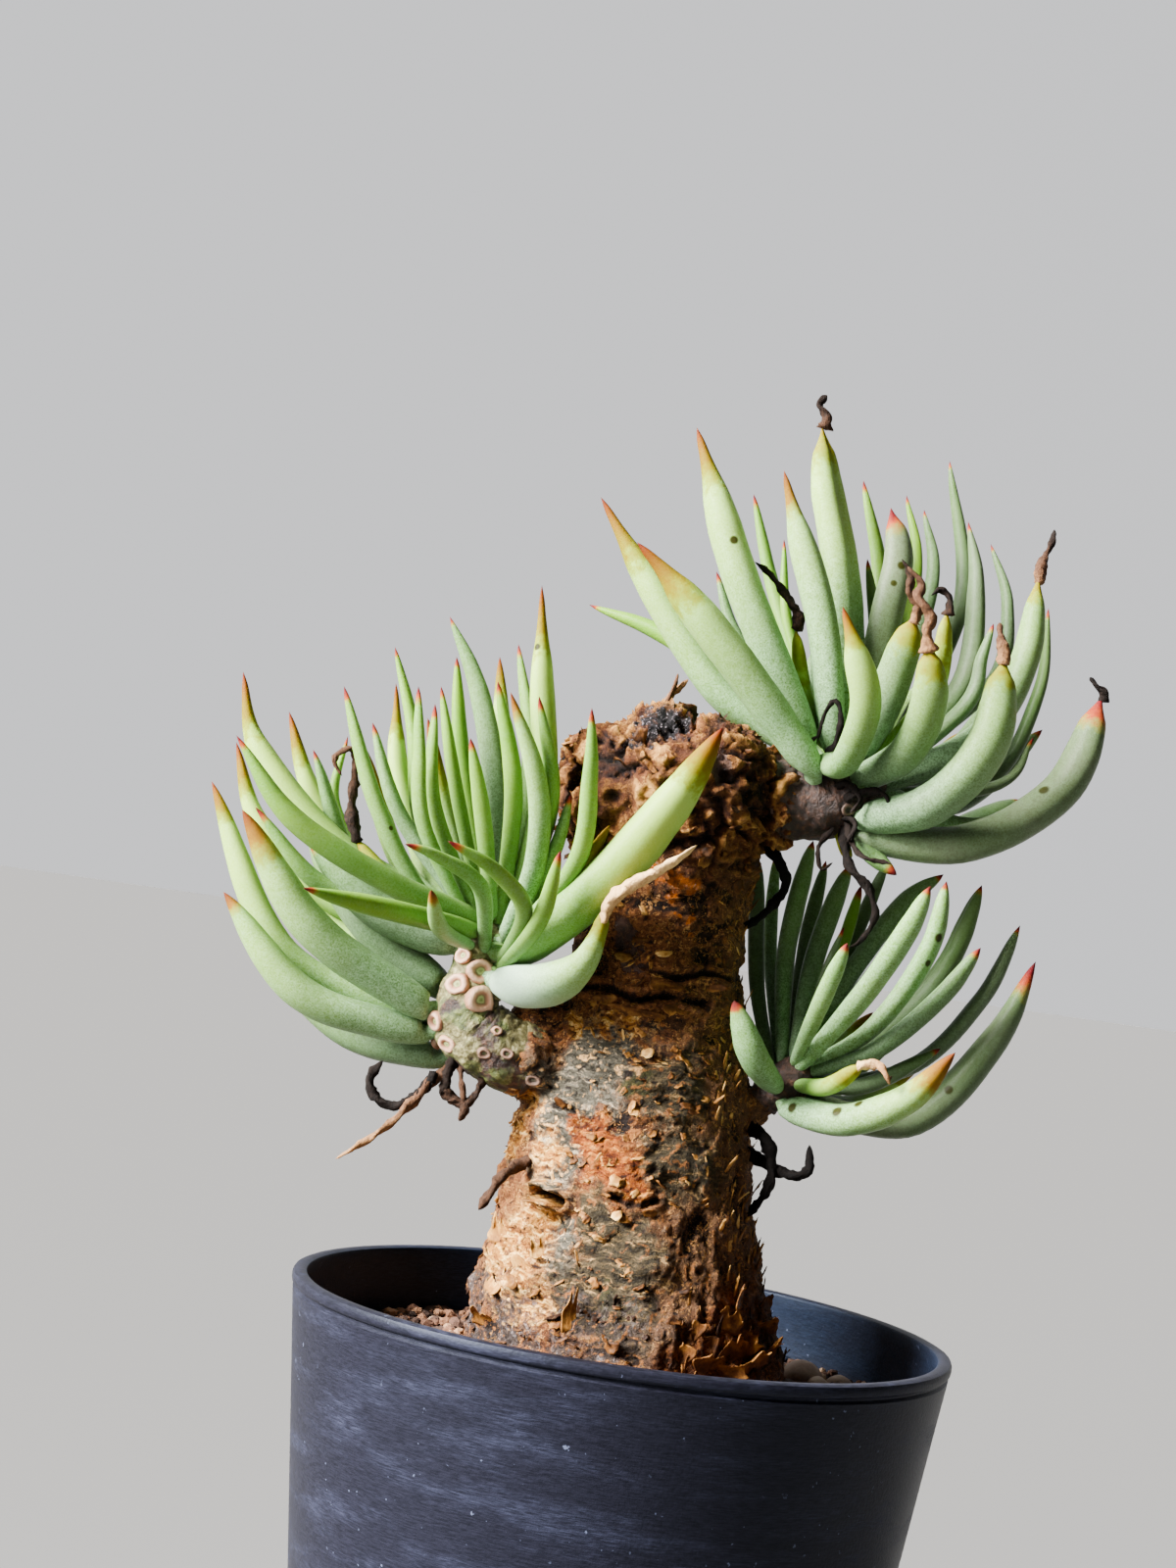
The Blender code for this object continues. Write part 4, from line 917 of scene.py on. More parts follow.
# The flakes: thin slips of dead bark that hang on by one end and curl away from the trunk, upright
# slivers on its old side, broad sheets round its foot and crumpled tan scraps on the crown.
FLAKE_COUNT = 2300
SHEET_FLAKES = [
    ((30, -117), 4.6, 7, 0.3, 1.3, 0.20),
    ((24, -120), 4.4, 7, -0.3, 1.1, 0.15),
    ((35.4, -112), 4.4, 6, 0.15, 1.3, 0.25),
    ((34, -119), 4.6, 7, 0.4, 1.4, 0.30),
    ((19, -118), 4, 6, 0.6, 1.0, 0.20),
    ((37, -117), 4.4, 5, 0, 1.4, 0.22),
    ((28, -111), 4, 6, -0.4, 1.0, 0.28),
    ((31, -106), 3.6, 5, 0.3, 1.0, 0.20),
    ((26, -115), 3.4, 5, 1.4, 1.2, 0.10),
    ((32, -114), 3.2, 5, -1.2, 1.2, 0.34),
    ((22, -113), 3.0, 5, 0.9, 0.9, 0.18),
    ((36, -107), 3.0, 4, -0.3, 1.0, 0.15),
    ((29, -121), 3.6, 6, 0.1, 1.2, 0.26),
    ((-4, -111), 7.4, 2.8, 0.05, 0.8, 0.45),
    ((-20, -103), 6, 5, -0.2, 0.8, 0.5),
    ((-21.6, -110), 5, 5, -0.1, 0.9, 0.40),
    ((-18.5, -93), 5, 4, 0.1, 0.9, 0.5),
    ((-12.6, -98), 4.4, 6, 2.6, 0.6, 0.60),
    ((-9, -96), 3.6, 5, 0.7, 1.0, 0.6),
    ((2, -43.4), 2.6, 8, 3.3, 0.8, 0.32),
    ((10, -46.0), 2.4, 9, 3.0, 0.7, 0.28),
    ((18, -45.4), 2.4, 7, 3.2, 0.7, 0.22),
    ((16, -40.4), 2.4, 7, 3.1, 0.6, 0.15),
    ((25, -41), 2.2, 6, 3.2, 0.6, 0.15),
]
bpy.ops.object.select_all(action="DESELECT")
bpy.ops.mesh.primitive_grid_add(x_subdivisions=3, y_subdivisions=4, size=2)
flake_blank = bpy.context.object
flake_blank.name = "flake_blank"
bpy.ops.object.select_all(action="DESELECT")
bpy.ops.mesh.primitive_grid_add(x_subdivisions=12, y_subdivisions=9, size=2)
sheet_blank = bpy.context.object
sheet_blank.name = "sheet_blank"
for blank in (flake_blank, sheet_blank):
    bpy.context.view_layer.objects.active = blank
    thicken = blank.modifiers.new("paper", "SOLIDIFY")
    thicken.thickness = 0.5
    thicken.offset = 0
    bpy.ops.object.modifier_apply(modifier="paper")


def flake(blank, spot, normal, length, width, turn, curl, shade):
    """A scrap of bark at a place in millimetres: its root on the trunk, its torn free end curling away."""
    around = normal.cross(Vector((0, 0, 1))).normalized()
    climb = around.cross(normal).normalized()
    ahead = climb * math.cos(turn) + around * math.sin(turn)
    side = ahead.cross(normal)
    mesh = blank.data.copy()
    torn = Vector((spot.x * 3.7, spot.y * 3.7, spot.z * 3.7))
    shades = []
    for vert in mesh.vertices:
        across, share, layer = vert.co.x, (vert.co.y + 1) / 2, vert.co.z * 4
        ragged = noise.noise(torn + Vector((across * 1.7, share * 2.3, 0)))
        half = width / 2 * (0.72 + 0.4 * math.sin(math.pi * min(share + 0.15, 1))) * (1 + 0.5 * ragged)
        bend = max(curl * share, 0.001)
        edge = noise.noise(torn + Vector((across * 1.6, 9, 0))) + 0.3 * noise.noise(torn + Vector((across * 5, 4, 0)))
        reach = length * (1 + 0.55 * edge * share)
        forward = reach * share * math.sin(bend) / bend
        rise = reach * share * (1 - math.cos(bend)) / bend + 0.35 * curl * share * across * across
        thick = 0.11 * (1 - 0.5 * share) * layer
        place = spot + ahead * (forward - 0.12 * length) + side * (across * half)
        vert.co = (place + normal * (rise + thick - 0.05)) * MM
        shades.append(shade + 0.22 * share + 0.25 * ragged)
    item = bpy.data.objects.new("flake", mesh)
    bpy.context.scene.collection.objects.link(item)
    set_values(mesh, "shade", shades)
    return item


draw = random.Random(17)
flakes = []
trunk_top = 13.0
for index in range(FLAKE_COUNT):
    above = -119 + (trunk_top + 119) * ((index * 0.7548777) % 1)
    angle = index * GOLDEN_ANGLE
    middle = sight(15, above, 0)
    outward = SIGHT_RIGHT * math.cos(angle) + SIGHT_AHEAD * math.sin(angle)
    start = middle + outward * 60
    spot, normal, face, distance = rough_skin.ray_cast(start * MM, -outward, 0.058)
    if not spot:
        continue
    spot = spot / MM
    crowding = noise.noise(spot * 0.07)
    if crowding + draw.uniform(-0.35, 0.35) < -0.12:
        continue
    on_crown = spot.z > crown_foot + 4
    old_side = spot.x > 11 or spot.y > 8
    if not on_crown and spot.z > 172 and draw.random() < 0.55:
        continue
    if on_crown:
        if draw.random() < 0.72:
            continue
        length, width = draw.uniform(1.4, 3.4), draw.uniform(1.0, 2.6)
        turn, curl, shade = draw.uniform(-3.1, 3.1), draw.uniform(0.4, 1.8), draw.uniform(-0.15, 0.3)
    elif old_side:
        length, width = draw.uniform(1.2, 4.2), draw.uniform(0.35, 0.85)
        turn, curl, shade = draw.gauss(0, 0.35), draw.uniform(0.1, 0.5), draw.uniform(0.1, 0.75)
    else:
        if draw.random() < 0.25:
            continue
        length, width = 0.5 + 1.8 * draw.random() ** 2, draw.uniform(0.6, 3.2)
        turn, curl, shade = draw.gauss(math.pi, 0.6), draw.uniform(0.2, 1.4), draw.uniform(0.05, 0.72)
    # Painted shade: flakes near the soil are darker, as if in the shadow of the pot's rim.
    shade -= 0.45 * (1 - eased(spot.z, 116, 130))
    flakes.append(flake(flake_blank, spot, normal, length, width, turn, curl, shade))
for (right, above), length, width, turn, curl, shade in SHEET_FLAKES:
    spot, normal = seen_on(rough_skin, right, above)
    if spot:
        flakes.append(flake(sheet_blank, spot, normal, length, width, turn, curl, shade))

paper, tree, shader, place = new_material("bark_flake", 0.6)
shade = add_node(tree, "Attribute", attribute_name="shade").outputs["Fac"]
grainy = cloud(tree, place, 1300, 4, 0.65)
tone = maths(tree, "ADD", shade, maths(tree, "MULTIPLY", maths(tree, "SUBTRACT", grainy, 0.5), 0.6))
colour = ramp(tree, tone, (0.0, (0.014, 0.005, 0.002)), (0.3, (0.085, 0.030, 0.006)), (0.58, (0.27, 0.115, 0.022)),
              (0.82, (0.52, 0.29, 0.080)), (1.0, (0.70, 0.47, 0.18)))
tree.links.new(colour, shader.inputs["Base Color"])
shader.inputs["Specular IOR Level"].default_value = 0.12
bumped(tree, shader, cloud(tree, place, 1500, 3, 0.6, (1, 1, 0.3)), 0.2)
joined("bark_flakes", flakes, paper)

# The dry stalks: dead flower stalks and leaf threads, thin, wrinkled and twisted, that stay on the bark.
TWIG_BLANK = (10, 34)
TRUNK_TWIGS = [
    (2.8, [(-9, -75, -8), (-17, -79.5, -18), (-19.6, -83, -21), (-22.4, -87, -22)], 0.35),
    (3.0, [(30, -74.4, -3), (34, -76.0, -6), (38, -78.6, -8), (42.4, -80.0, -10), (45, -78.6, -10), (45.2, -73.6, -10)], 0.02),
    (3.2, [(32, -69, -4), (36.4, -73, -8), (37.6, -78.6, -9), (36.4, -83, -9), (32.4, -88.4, -8)], 0.02),
    (2.6, [(36, -12, -3), (39.6, -17, -5), (39.8, -22, -5), (34, -28, -4), (29, -30, -4)], 0.0),
    (2.0, [(13, 12, -2), (16, 17, -3), (20.5, 21.4, -3)], 0.6),
    (1.2, [(15, 14, -3), (17.6, 20, -4), (18.4, 22.6, -4)], 0.5),
]
twig_blank = round_blank("twig_blank", *TWIG_BLANK)


def stalk(points, width, shade, thin=0.35, flat=0.62, twist=0.5, tip_shade=None, belly=0.0):
    """A withered stalk through places of the view: a wrinkled band that twists and thins to its tip."""
    curve = smooth_path([sight(*point) for point in points], 40)
    drift = curve[0].x * 0.7
    reach = sum((end - start).length for start, end in zip(curve, curve[1:]))

    def section(length, cosine, sine):
        share = length / reach
        half = width / 2 * (1 - (1 - thin) * share)
        half *= 1 + 0.3 * noise.noise(Vector((length * 0.9, drift, 0))) + belly * math.sin(math.pi * share)
        ends = min(1, (1 - share) * 9 + 0.25, share * 30 + 0.3)
        spin = twist * length + drift
        across = half * ends * cosine
        up = half * ends * flat * sine
        crimp = 1 + 0.14 * math.sin(5 * math.atan2(sine, cosine) + length)
        crimp += 0.45 * noise.noise(Vector((cosine * 1.7 + drift, sine * 1.7, length * 0.55)))
        return ((across * math.cos(spin) - up * math.sin(spin)) * crimp,
                (across * math.sin(spin) + up * math.cos(spin)) * crimp)

    item, spans, reach = threaded(twig_blank, "stalk", curve, Vector((0.3, -1, 0.2)).normalized(), section)
    last = shade if tip_shade is None else tip_shade
    set_values(item.data, "shade", [shade + (last - shade) * span / reach for span in spans])
    return item


withered, tree, shader, place = new_material("withered", 0.82)
shade = add_node(tree, "Attribute", attribute_name="shade").outputs["Fac"]
grainy = cloud(tree, place, 1500, 4, 0.7)
tone = maths(tree, "ADD", shade, maths(tree, "MULTIPLY", maths(tree, "SUBTRACT", grainy, 0.5), 0.4))
colour = ramp(tree, tone, (0.0, (0.001, 0.0006, 0.0006)), (0.25, (0.010, 0.005, 0.003)), (0.5, (0.080, 0.036, 0.018)),
              (0.75, (0.34, 0.17, 0.066)), (1.0, (0.84, 0.58, 0.26)))
tree.links.new(colour, shader.inputs["Base Color"])
shader.inputs["Specular IOR Level"].default_value = 0.12
bumped(tree, shader, cloud(tree, place, 1400, 4, 0.7, (1, 1, 0.5)), 0.5)
joined("trunk_stalks", [stalk(points, width, shade, 0.6, 0.8) for width, points, shade in TRUNK_TWIGS], withered)

# The leaves: thick fingers full of water, round at the foot where they sit on a small scar and drawn to
# a point. A mealy bloom whitens them, and their tips flush yellow, orange and dark red in the sun.
LEAF_BLANK = (24, 46)
LEAF_THICKNESS_RATIO = 0.86
LEAF_CROWDING = 0.075
FULLNESS = {
    "full": [(0.0, 0.84), (0.15, 0.95), (0.35, 1.0), (0.55, 1.0), (0.72, 0.87), (0.84, 0.64), (0.92, 0.40), (0.97, 0.2),
             (1.0, 0.0)],
    "horned": [(0.0, 0.80), (0.25, 0.97), (0.52, 1.0), (0.68, 0.96), (0.77, 0.80), (0.84, 0.50), (0.90, 0.32),
               (0.96, 0.20), (1.0, 0.0)],
    "slim": [(0.0, 0.68), (0.2, 0.88), (0.45, 1.0), (0.66, 0.96), (0.82, 0.74), (0.92, 0.47), (0.97, 0.27), (1.0, 0.0)],
    "finger": [(0.0, 0.58), (0.15, 0.74), (0.4, 0.94), (0.66, 1.0), (0.82, 0.92), (0.92, 0.66), (0.97, 0.36), (1.0, 0.0)],
    "blunt": [(0.0, 0.84), (0.3, 1.0), (0.6, 1.0), (0.78, 0.92), (0.89, 0.70), (0.955, 0.42), (1.0, 0.24)],
    "shouldered": [(0.0, 0.84), (0.3, 1.0), (0.62, 1.0), (0.80, 0.92), (0.90, 0.70), (0.95, 0.44), (0.98, 0.24),
                   (1.0, 0.15)],
    "necked": [(0.0, 0.86), (0.2, 1.0), (0.40, 1.0), (0.54, 0.84), (0.68, 0.58), (0.84, 0.36), (1.0, 0.26)],
    "far": [(0.0, 0.7), (0.2, 0.9), (0.5, 1.0), (0.75, 0.86), (0.9, 0.56), (0.97, 0.25), (1.0, 0.0)],
}
# How far from the tip the flush reaches, how red it is rather than golden, how warm and how mealy the
# body is, and how far along its colours the flush begins at the tip.
LOOKS = {
    "red": (4.0, 1.0, 0.62, 0.26, 0.0),
    "young": (3.6, 1.0, 0.78, 0.16, 0.0),
    "teal": (3.2, 1.0, 0.10, 0.34, 0.0),
    # This look is painted shade for leaves at the back of the heads, partly also older leaves with less bloom.
    "dark": (2.8, 1.0, -0.10, 0.10, 0.0),
    "pale red": (2.6, 1.0, 0.50, 0.72, 0.0),
    "gold": (15.0, 0.0, 0.85, 0.30, 0.0),
    "short gold": (10.5, 0.0, 0.60, 0.50, 0.0),
    "amber": (14.0, 0.0, 1.0, 0.05, 0.25),
    "rust": (6.0, 0.45, 0.40, 0.65, 0.0),
    "pink": (12.0, 0.3, 0.45, 0.85, 0.05),
    "pale": (18.0, 0.0, 0.65, 0.72, 0.0),
    "cream": (20.0, 0.0, 0.60, 0.90, 0.50),
    "olive": (9.0, 1.0, -0.7, 0.22, 0.10),
    # This look is painted shade on the far right leaf of the low head, with a red flush at its tip.
    "russet": (9.0, 1.0, -0.40, 0.14, 0.0),
    "spent": (16.0, 0.0, 0.10, 0.42, 0.50),
    "bleached": (20.0, 0.0, 0.35, 2.2, 0.55),
    "dying": (30.0, 0.0, 1.0, 0.20, 0.60),
}
LEFT_HEAD = {
    "name": "left",
    "stem": [((-11, -56.5, -6), 8.6), ((-14, -55.5, -7.2), 8.0), ((-16.8, -54.8, -8.4), 8.0), ((-24.5, -48.5, -9.5), 6.8),
             ((-23, -38, -9.5), 5.4), ((-21, -30, -9), 4.4), ((-20, -26, -9), 2.6)],
    "heart": (-21, -30, -8),
    "axis": (-0.3, -0.1, 0.95),
    "seed": 40,
    "far_count": 11,
    "far_tilt": 46,
    "far_range": (-0.35, 1.5),
    "far_length": 52.0,
    "far_width": 6.8,
    "far_start": 3.0,
    "leaves": [
        (8.0, [(-33.4, -51, -8), (-58, -42.8, -14), (-74.4, -22, -16)], "rust"),
        (7.4, [(-29, -56, -4), (-49, -50.5, 3), (-69, -32, 8)], "teal"),
        (7.4, [(-33, -48.5, -5), (-62, -34, -6), (-76.8, 0.6, -4)], "short gold", "grooved"),
        (9.0, [(-32.6, -46, -10), (-56, -29.4, -20), (-70.6, -5.2, -26)], "pink"),
        (4.6, [(-26, -29, -7), (-53, -21.4, -13), (-68, -4.6, -17)], "red"),
        (6.0, [(-23, -27.5, -12), (-40, -20, -24), (-60, -7, -32), (-71.8, 10, -35)], "red", "grooved"),
        (7.6, [(-25, -28, -6), (-51, -13, -7), (-67, 7, -5), (-70.4, 23, -4)], "gold", "horned"),
        (6.0, [(-26, -32, -4), (-52, -24, 1), (-67, -8, 5), (-71.8, 8.6, 7)], "gold"),
        (5.6, [(-26, -28, 0), (-44, -17, 3), (-56, -2, 6), (-61, 14.8, 9)], "gold"),
        (3.0, [(-26, -27, -2), (-43, -18, 0), (-51.6, -4, 3), (-49, 9.8, 5)], "young"),
        (4.0, [(-24, -29, -10), (-34, -22, -14), (-43.2, -4, -17), (-49.8, 20, -17)], "red"),
        (3.8, [(-24, -27, -6), (-38.4, -6, -4), (-44, 12.6, -2)], "teal"),
        (4.8, [(-24, -26, -3), (-37.4, -2, 3), (-39.2, 20.6, 7)], "gold", "horned"),
        (3.6, [(-24, -26, -5), (-34, -8, -1), (-35.6, 11, 2), (-39.4, 28, 4)], "young"),
        (3.4, [(-25, -27, -13), (-33.6, -8, -20), (-34.4, 8, -22), (-34.6, 20, -22)], "red"),
        (3.4, [(-23, -26, -12), (-31.4, -4, -17), (-31.2, 16.4, -17)], "red"),
        (3.4, [(-22, -25, -9), (-27, 0, -12), (-30, 20, -13)], "young"),
        (3.8, [(-21, -24, -6), (-25.6, 4, -4), (-26.8, 26, -2)], "young"),
        (4.6, [(-19.4, -27, -7), (-18.4, -6, -7), (-22, 18, -5), (-28.2, 34.2, -3)], "teal"),
        (3.4, [(-19.5, -27, -14), (-21.6, -6, -22), (-24, 9.4, -26)], "young"),
        (4.4, [(-19, -26, -3), (-17.6, 2, 3), (-18, 26, 7)], "short gold"),
        (3.8, [(-18, -28, -12), (-15.2, -2, -18), (-18.4, 21, -20)], "young"),
        (4.5, [(-17, -32, -13), (-10.8, -16, -21), (-10.4, 0, -25), (-15.8, 18.8, -27)], "rust"),
        (3.4, [(-17, -28, -5), (-12, 4, -4), (-14.2, 28.6, -2)], "red"),
        (6.0, [(-16, -30, -9), (-9.4, -4, -16), (-9.4, 21, -15), (-9.4, 40.6, -12)], "gold", "horned", "grooved"),
        (3.6, [(-16, -29, -12), (-7.6, -4, -21), (-10, 18, -24)], "red"),
        (3.8, [(-16, -32, -14), (-2.4, -16, -27), (0.4, 2, -31), (0.8, 15.6, -33)], "young"),
        (3.2, [(-15, -30, -13), (-7, -14, -20), (-3.4, -2, -22)], "teal"),
        (3.6, [(-18, -38, -15), (-10, -28, -28), (-5.6, -13.6, -34)], "red"),
        (3.8, [(-15, -32, -13), (-2, -18, -24), (4.4, -8.4, -27)], "amber"),
        (10.4, [(-15.0, -35.0, -15), (3.2, -20.0, -25), (18.0, -2.8, -29), (27.6, 11.6, -32)], "gold"),
        (10.2, [(-18.2, -40.2, -14), (-9, -41.0, -22), (-1.8, -37.2, -27), (1.8, -31.2, -28.2), (3.6, -25.4, -28.2)], "bleached", "necked"),
        (3.4, [(-21, -34, -13), (-22, -21, -26), (-31, -14.6, -34), (-37.4, -12.2, -38)], "red"),
        (3.4, [(-18, -37, -13), (-13, -26, -28), (-19, -17.6, -36), (-28.6, -11.6, -42)], "red"),
        (5.0, [(-23, -30, -13), (-36, -26.6, -32), (-50, -23.4, -46), (-58.2, -21.2, -54)], "young"),
        (3.6, [(-24, -33, -13), (-30, -29.5, -34), (-32, -21.6, -48)], "rust"),
        (8.8, [(-27.5, -33, -9), (-43, -25.5, -11), (-57, -11.4, -12)], "teal"),
        (9.4, [(-29, -42, -6), (-41, -32.5, -4), (-50, -21, -2), (-57.4, -8.4, 0)], "teal"),
        (3.6, [(-27, -28.5, -7), (-38, -22, -9), (-47.6, -11, -10)], "dying", "blunt"),
    ],
    "stalks": [
        (2.5, [(-31, -58.6, -13), (-33.6, -62.0, -13.5), (-37.4, -65.2, -14), (-41.2, -65.4, -14), (-44.2, -62.6, -14),
               (-44.4, -59.6, -14), (-41.8, -56.4, -13)], 0.04, 0.10, "even"),
        (3.0, [(-27, -57.0, -10), (-32, -60.6, -13), (-36.8, -65.8, -15), (-42.6, -71.0, -18), (-51.6, -76.6, -21)], 0.36, 0.72),
        (2.6, [(-26.6, -54, -9.5), (-28.4, -58, -12), (-29.2, -62, -13), (-30.2, -63.6, -13)], 0.14, 0.2, "even"),
        (2.4, [(-29.6, -62.4, -13), (-27.2, -64.6, -13), (-25.2, -66.4, -14), (-26.4, -68.8, -14)], 0.28, 0.34, "even"),
        (1.9, [(-20.6, -58.4, -11), (-22.4, -62.4, -12), (-24.6, -65.4, -13), (-26, -67.4, -13)], 0.25, 0.3, "even"),
        (1.5, [(-25.6, -55, -10), (-26, -59, -12), (-25.6, -62.6, -13), (-25.2, -65, -13)], 0.3, 0.45, "even"),
        (3.2, [(-47, -12.4, -10), (-48.2, -6, -11), (-47.8, 0, -12), (-47.4, 6, -12), (-49.4, 7.2, -13),
               (-51.8, 4.8, -14), (-50.2, 1.6, -14)], 0.2, 0.45),
        (3.8, [(3.0, -28.4, -28.2), (4.4, -24.4, -30), (7.6, -21.4, -33), (12.4, -18.8, -36), (17.4, -16.0, -38),
               (22.4, -12.4, -38.5)], 0.82, 0.90, "blade"),
    ],
}
TOP_HEAD = {
    "name": "top",
    "stem": [((37.5, -3, -2.8), 9.0), ((40.3, -3.1, -3.1), 8.7), ((43.4, -3.5, -3.5), 8.3), ((50, -3, -4), 7.8),
             ((55, 1, -4.2), 6.6), ((58, 6, -3), 3.0)],
    "heart": (54, 2, -4),
    "axis": (0.45, 0.15, 0.88),
    "seed": 70,
    "far_count": 9,
    "far_tilt": 36,
    "far_range": (-1.3, 0.9),
    "far_length": 54.0,
    "far_width": 8.0,
    "far_start": 4.0,
    "leaves": [
        (8.0, [(46.5, 6, 2), (37, 11.5, 4.5), (26, 20, 5), (11, 44, 7), (2.6, 58.6, 9)], "pale", "horned"),
        (8.8, [(46, 3, -12.5), (30.0, 25.4, -19), (17.6, 41, -21), (10.0, 49.4, -22)], "pale", "grooved", "horned"),
        (8.8, [(45, 8, -7), (32, 40, -7), (25.4, 62, -5), (22.2, 72.8, -3)], "pale", "horned"),
        (5.0, [(46, 8, 3), (18, 29, 17), (0.2, 36.6, 25)], "young"),
        (3.6, [(48, 8, 4), (38.4, 38, 14), (33.8, 59.2, 18)], "red"),
        (2.6, [(49, 8, 2), (41, 32, 9), (40, 50, 13)], "young"),
        (3.4, [(46, 8, 4), (31, 29, 17), (26.2, 43.4, 23)], "teal"),
        (3.8, [(48, 8, -3), (44.4, 18, -2.5), (42.4, 31.6, -3)], "dying", "blunt"),
        (7.4, [(50, 7, -6), (48, 32, -8), (42.4, 54, -8), (40, 64, -8)], "pink", "horned"),
        (8.4, [(53, 6, 0), (52.4, 38, 5), (49, 60, 8), (47.8, 73, 9.6)], "cream", "grooved", "shouldered"),
        (3.6, [(55, 6, 3), (59.8, 38, 15), (56.2, 62, 20)], "red"),
        (3.2, [(56, 6, 0), (58.8, 28, 7), (57, 46, 10)], "dark"),
        (6.6, [(56, 6, -3), (60, 30, 0), (63.4, 46, 3), (61.8, 56.4, 5)], "olive", "shouldered"),
        (3.0, [(58, 6, 2), (66.8, 42, 20), (65, 59, 26)], "young"),
        (3.4, [(59, 6, 0), (70, 40, 14), (68.6, 56, 19)], "dark"),
        (3.6, [(60, 4, 2), (76, 36, 19), (73.8, 66, 26)], "dark"),
        (5.0, [(60, 3, -1), (76, 20, 6), (79.2, 40, 9), (77.6, 53.6, 11)], "dark"),
        (4.0, [(60, 1, -3), (77, 16, 1), (80.4, 26, 1), (82.8, 32.8, 1)], "dark"),
        (3.6, [(60, 2, 1), (82, 20, 15), (85.6, 36, 20), (82.2, 49, 24)], "dark"),
        (7.2, [(59, 0, -5), (79, 9, -5), (88.6, 24, -4), (92, 42, -2)], "spent", "blunt"),
        (3.6, [(60, -2, 0), (82, 1, 11), (92, 19, 14), (94, 36, 14)], "dark"),
        (6.6, [(48, 4.6, -10), (52.4, 4.6, -19), (56.6, 16, -26), (54.6, 27, -28), (52.0, 36.2, -28)], "short gold", "horned"),
        (7.2, [(55, 6, -8), (61, 18, -15), (66.6, 34, -20)], "spent", "blunt"),
        (7.6, [(55, 0.6, -9), (65, 6.6, -20), (69.6, 17, -27), (69.6, 28.4, -30)], "spent", "blunt"),
        (4.6, [(58, 4, -6), (70, 18, -12), (73.4, 35.4, -13)], "dying", "blunt"),
        (9.8, [(56, -7, -9), (70, -4, -18), (81.4, 8, -24), (85, 25.4, -23)], "spent", "blunt"),
        (8.8, [(55, -10.5, -7), (77, -12, -10), (96.6, -1, -8), (105, 18, -5)], "olive", "shouldered"),
        (2.8, [(58, -5, -3), (84, 0, 6), (91, 9.6, 9)], "dark"),
        (4.4, [(53.4, -9, -6), (58, -14.4, -9), (63, -18.6, -12)], "teal"),
        (3.0, [(51, -8, -5), (52.4, -13, -7), (53.6, -15.6, -8)], "dying", "blunt"),
    ],
    "stalks": [
        (2.6, [(51, -5, -7), (54, -2.4, -13), (60, -1.8, -16), (62, -6, -17)], 0.05, 0.1),
        (3.0, [(52, -6, -6), (53, -16, -12), (57, -21, -14), (58.6, -27, -14), (55.6, -32, -14), (53, -33.4, -14)], 0.05, 0.1),
        (2.2, [(52, -5.5, -7), (55, -14, -15), (62, -16.4, -18)], 0.08, 0.2),
        (1.7, [(50, -9, -9), (47, -13, -12), (47.6, -17.4, -13), (50, -16, -13)], 0.1, 0.2),
        (2.0, [(47, 4, -9), (50.4, 8, -14), (51.6, 14, -15), (50.4, 17, -15), (48.2, 14, -15), (46.6, 8, -14)], 0.05, 0.1),
        (2.0, [(46, 3, -9), (44.6, 7, -13), (46.8, 10, -14)], 0.1, 0.15),
        (2.4, [(50, -2, -8), (52.6, 0, -13), (55.6, -3, -15), (53.4, -6, -15)], 0.04, 0.1),
        (2.4, [(51, -6, -8), (54.4, -8, -13), (53, -12, -14)], 0.04, 0.1),
        (2.8, [(42.6, 31, -3), (43, 34, -3), (41, 37.6, -3.4), (39.4, 40, -4), (37, 43, -4.6), (34, 45.4, -5)], 0.3, 0.12),
        (3.2, [(48.2, 72.4, 9.4), (48.6, 75, 9.8), (47.2, 77.4, 10), (48.8, 79.4, 10)], 0.4, 0.12),
        (3.2, [(92, 40.6, -2), (92.6, 45, -1.2), (94.6, 49, -0.4), (95.2, 52, 0)], 0.6, 0.1),
        (3.0, [(66.4, 32.4, -20), (67.4, 36.4, -20.6), (65.6, 39, -21), (66, 42.6, -21.6), (64, 46, -22)], 0.6, 0.2),
        (3.4, [(69.6, 26.4, -30), (69.2, 31, -30.4), (70, 34, -30.6), (67.6, 38, -30.8), (68, 41, -31), (65.2, 44.4, -31)], 0.62, 0.35),
        (2.6, [(73.4, 34.2, -13), (73.8, 38, -13.2), (71.8, 39.6, -13.6), (70, 38.4, -14)], 0.3, 0.1),
        (3.6, [(85, 24, -23), (84.8, 27, -23), (84.2, 30, -22.6), (84, 33, -22)], 0.66, 0.4),
        (2.6, [(105, 16.6, -5), (105.2, 18.6, -5), (103.8, 20, -5), (102.4, 21.8, -5)], 0.15, 0.05),
    ],
}
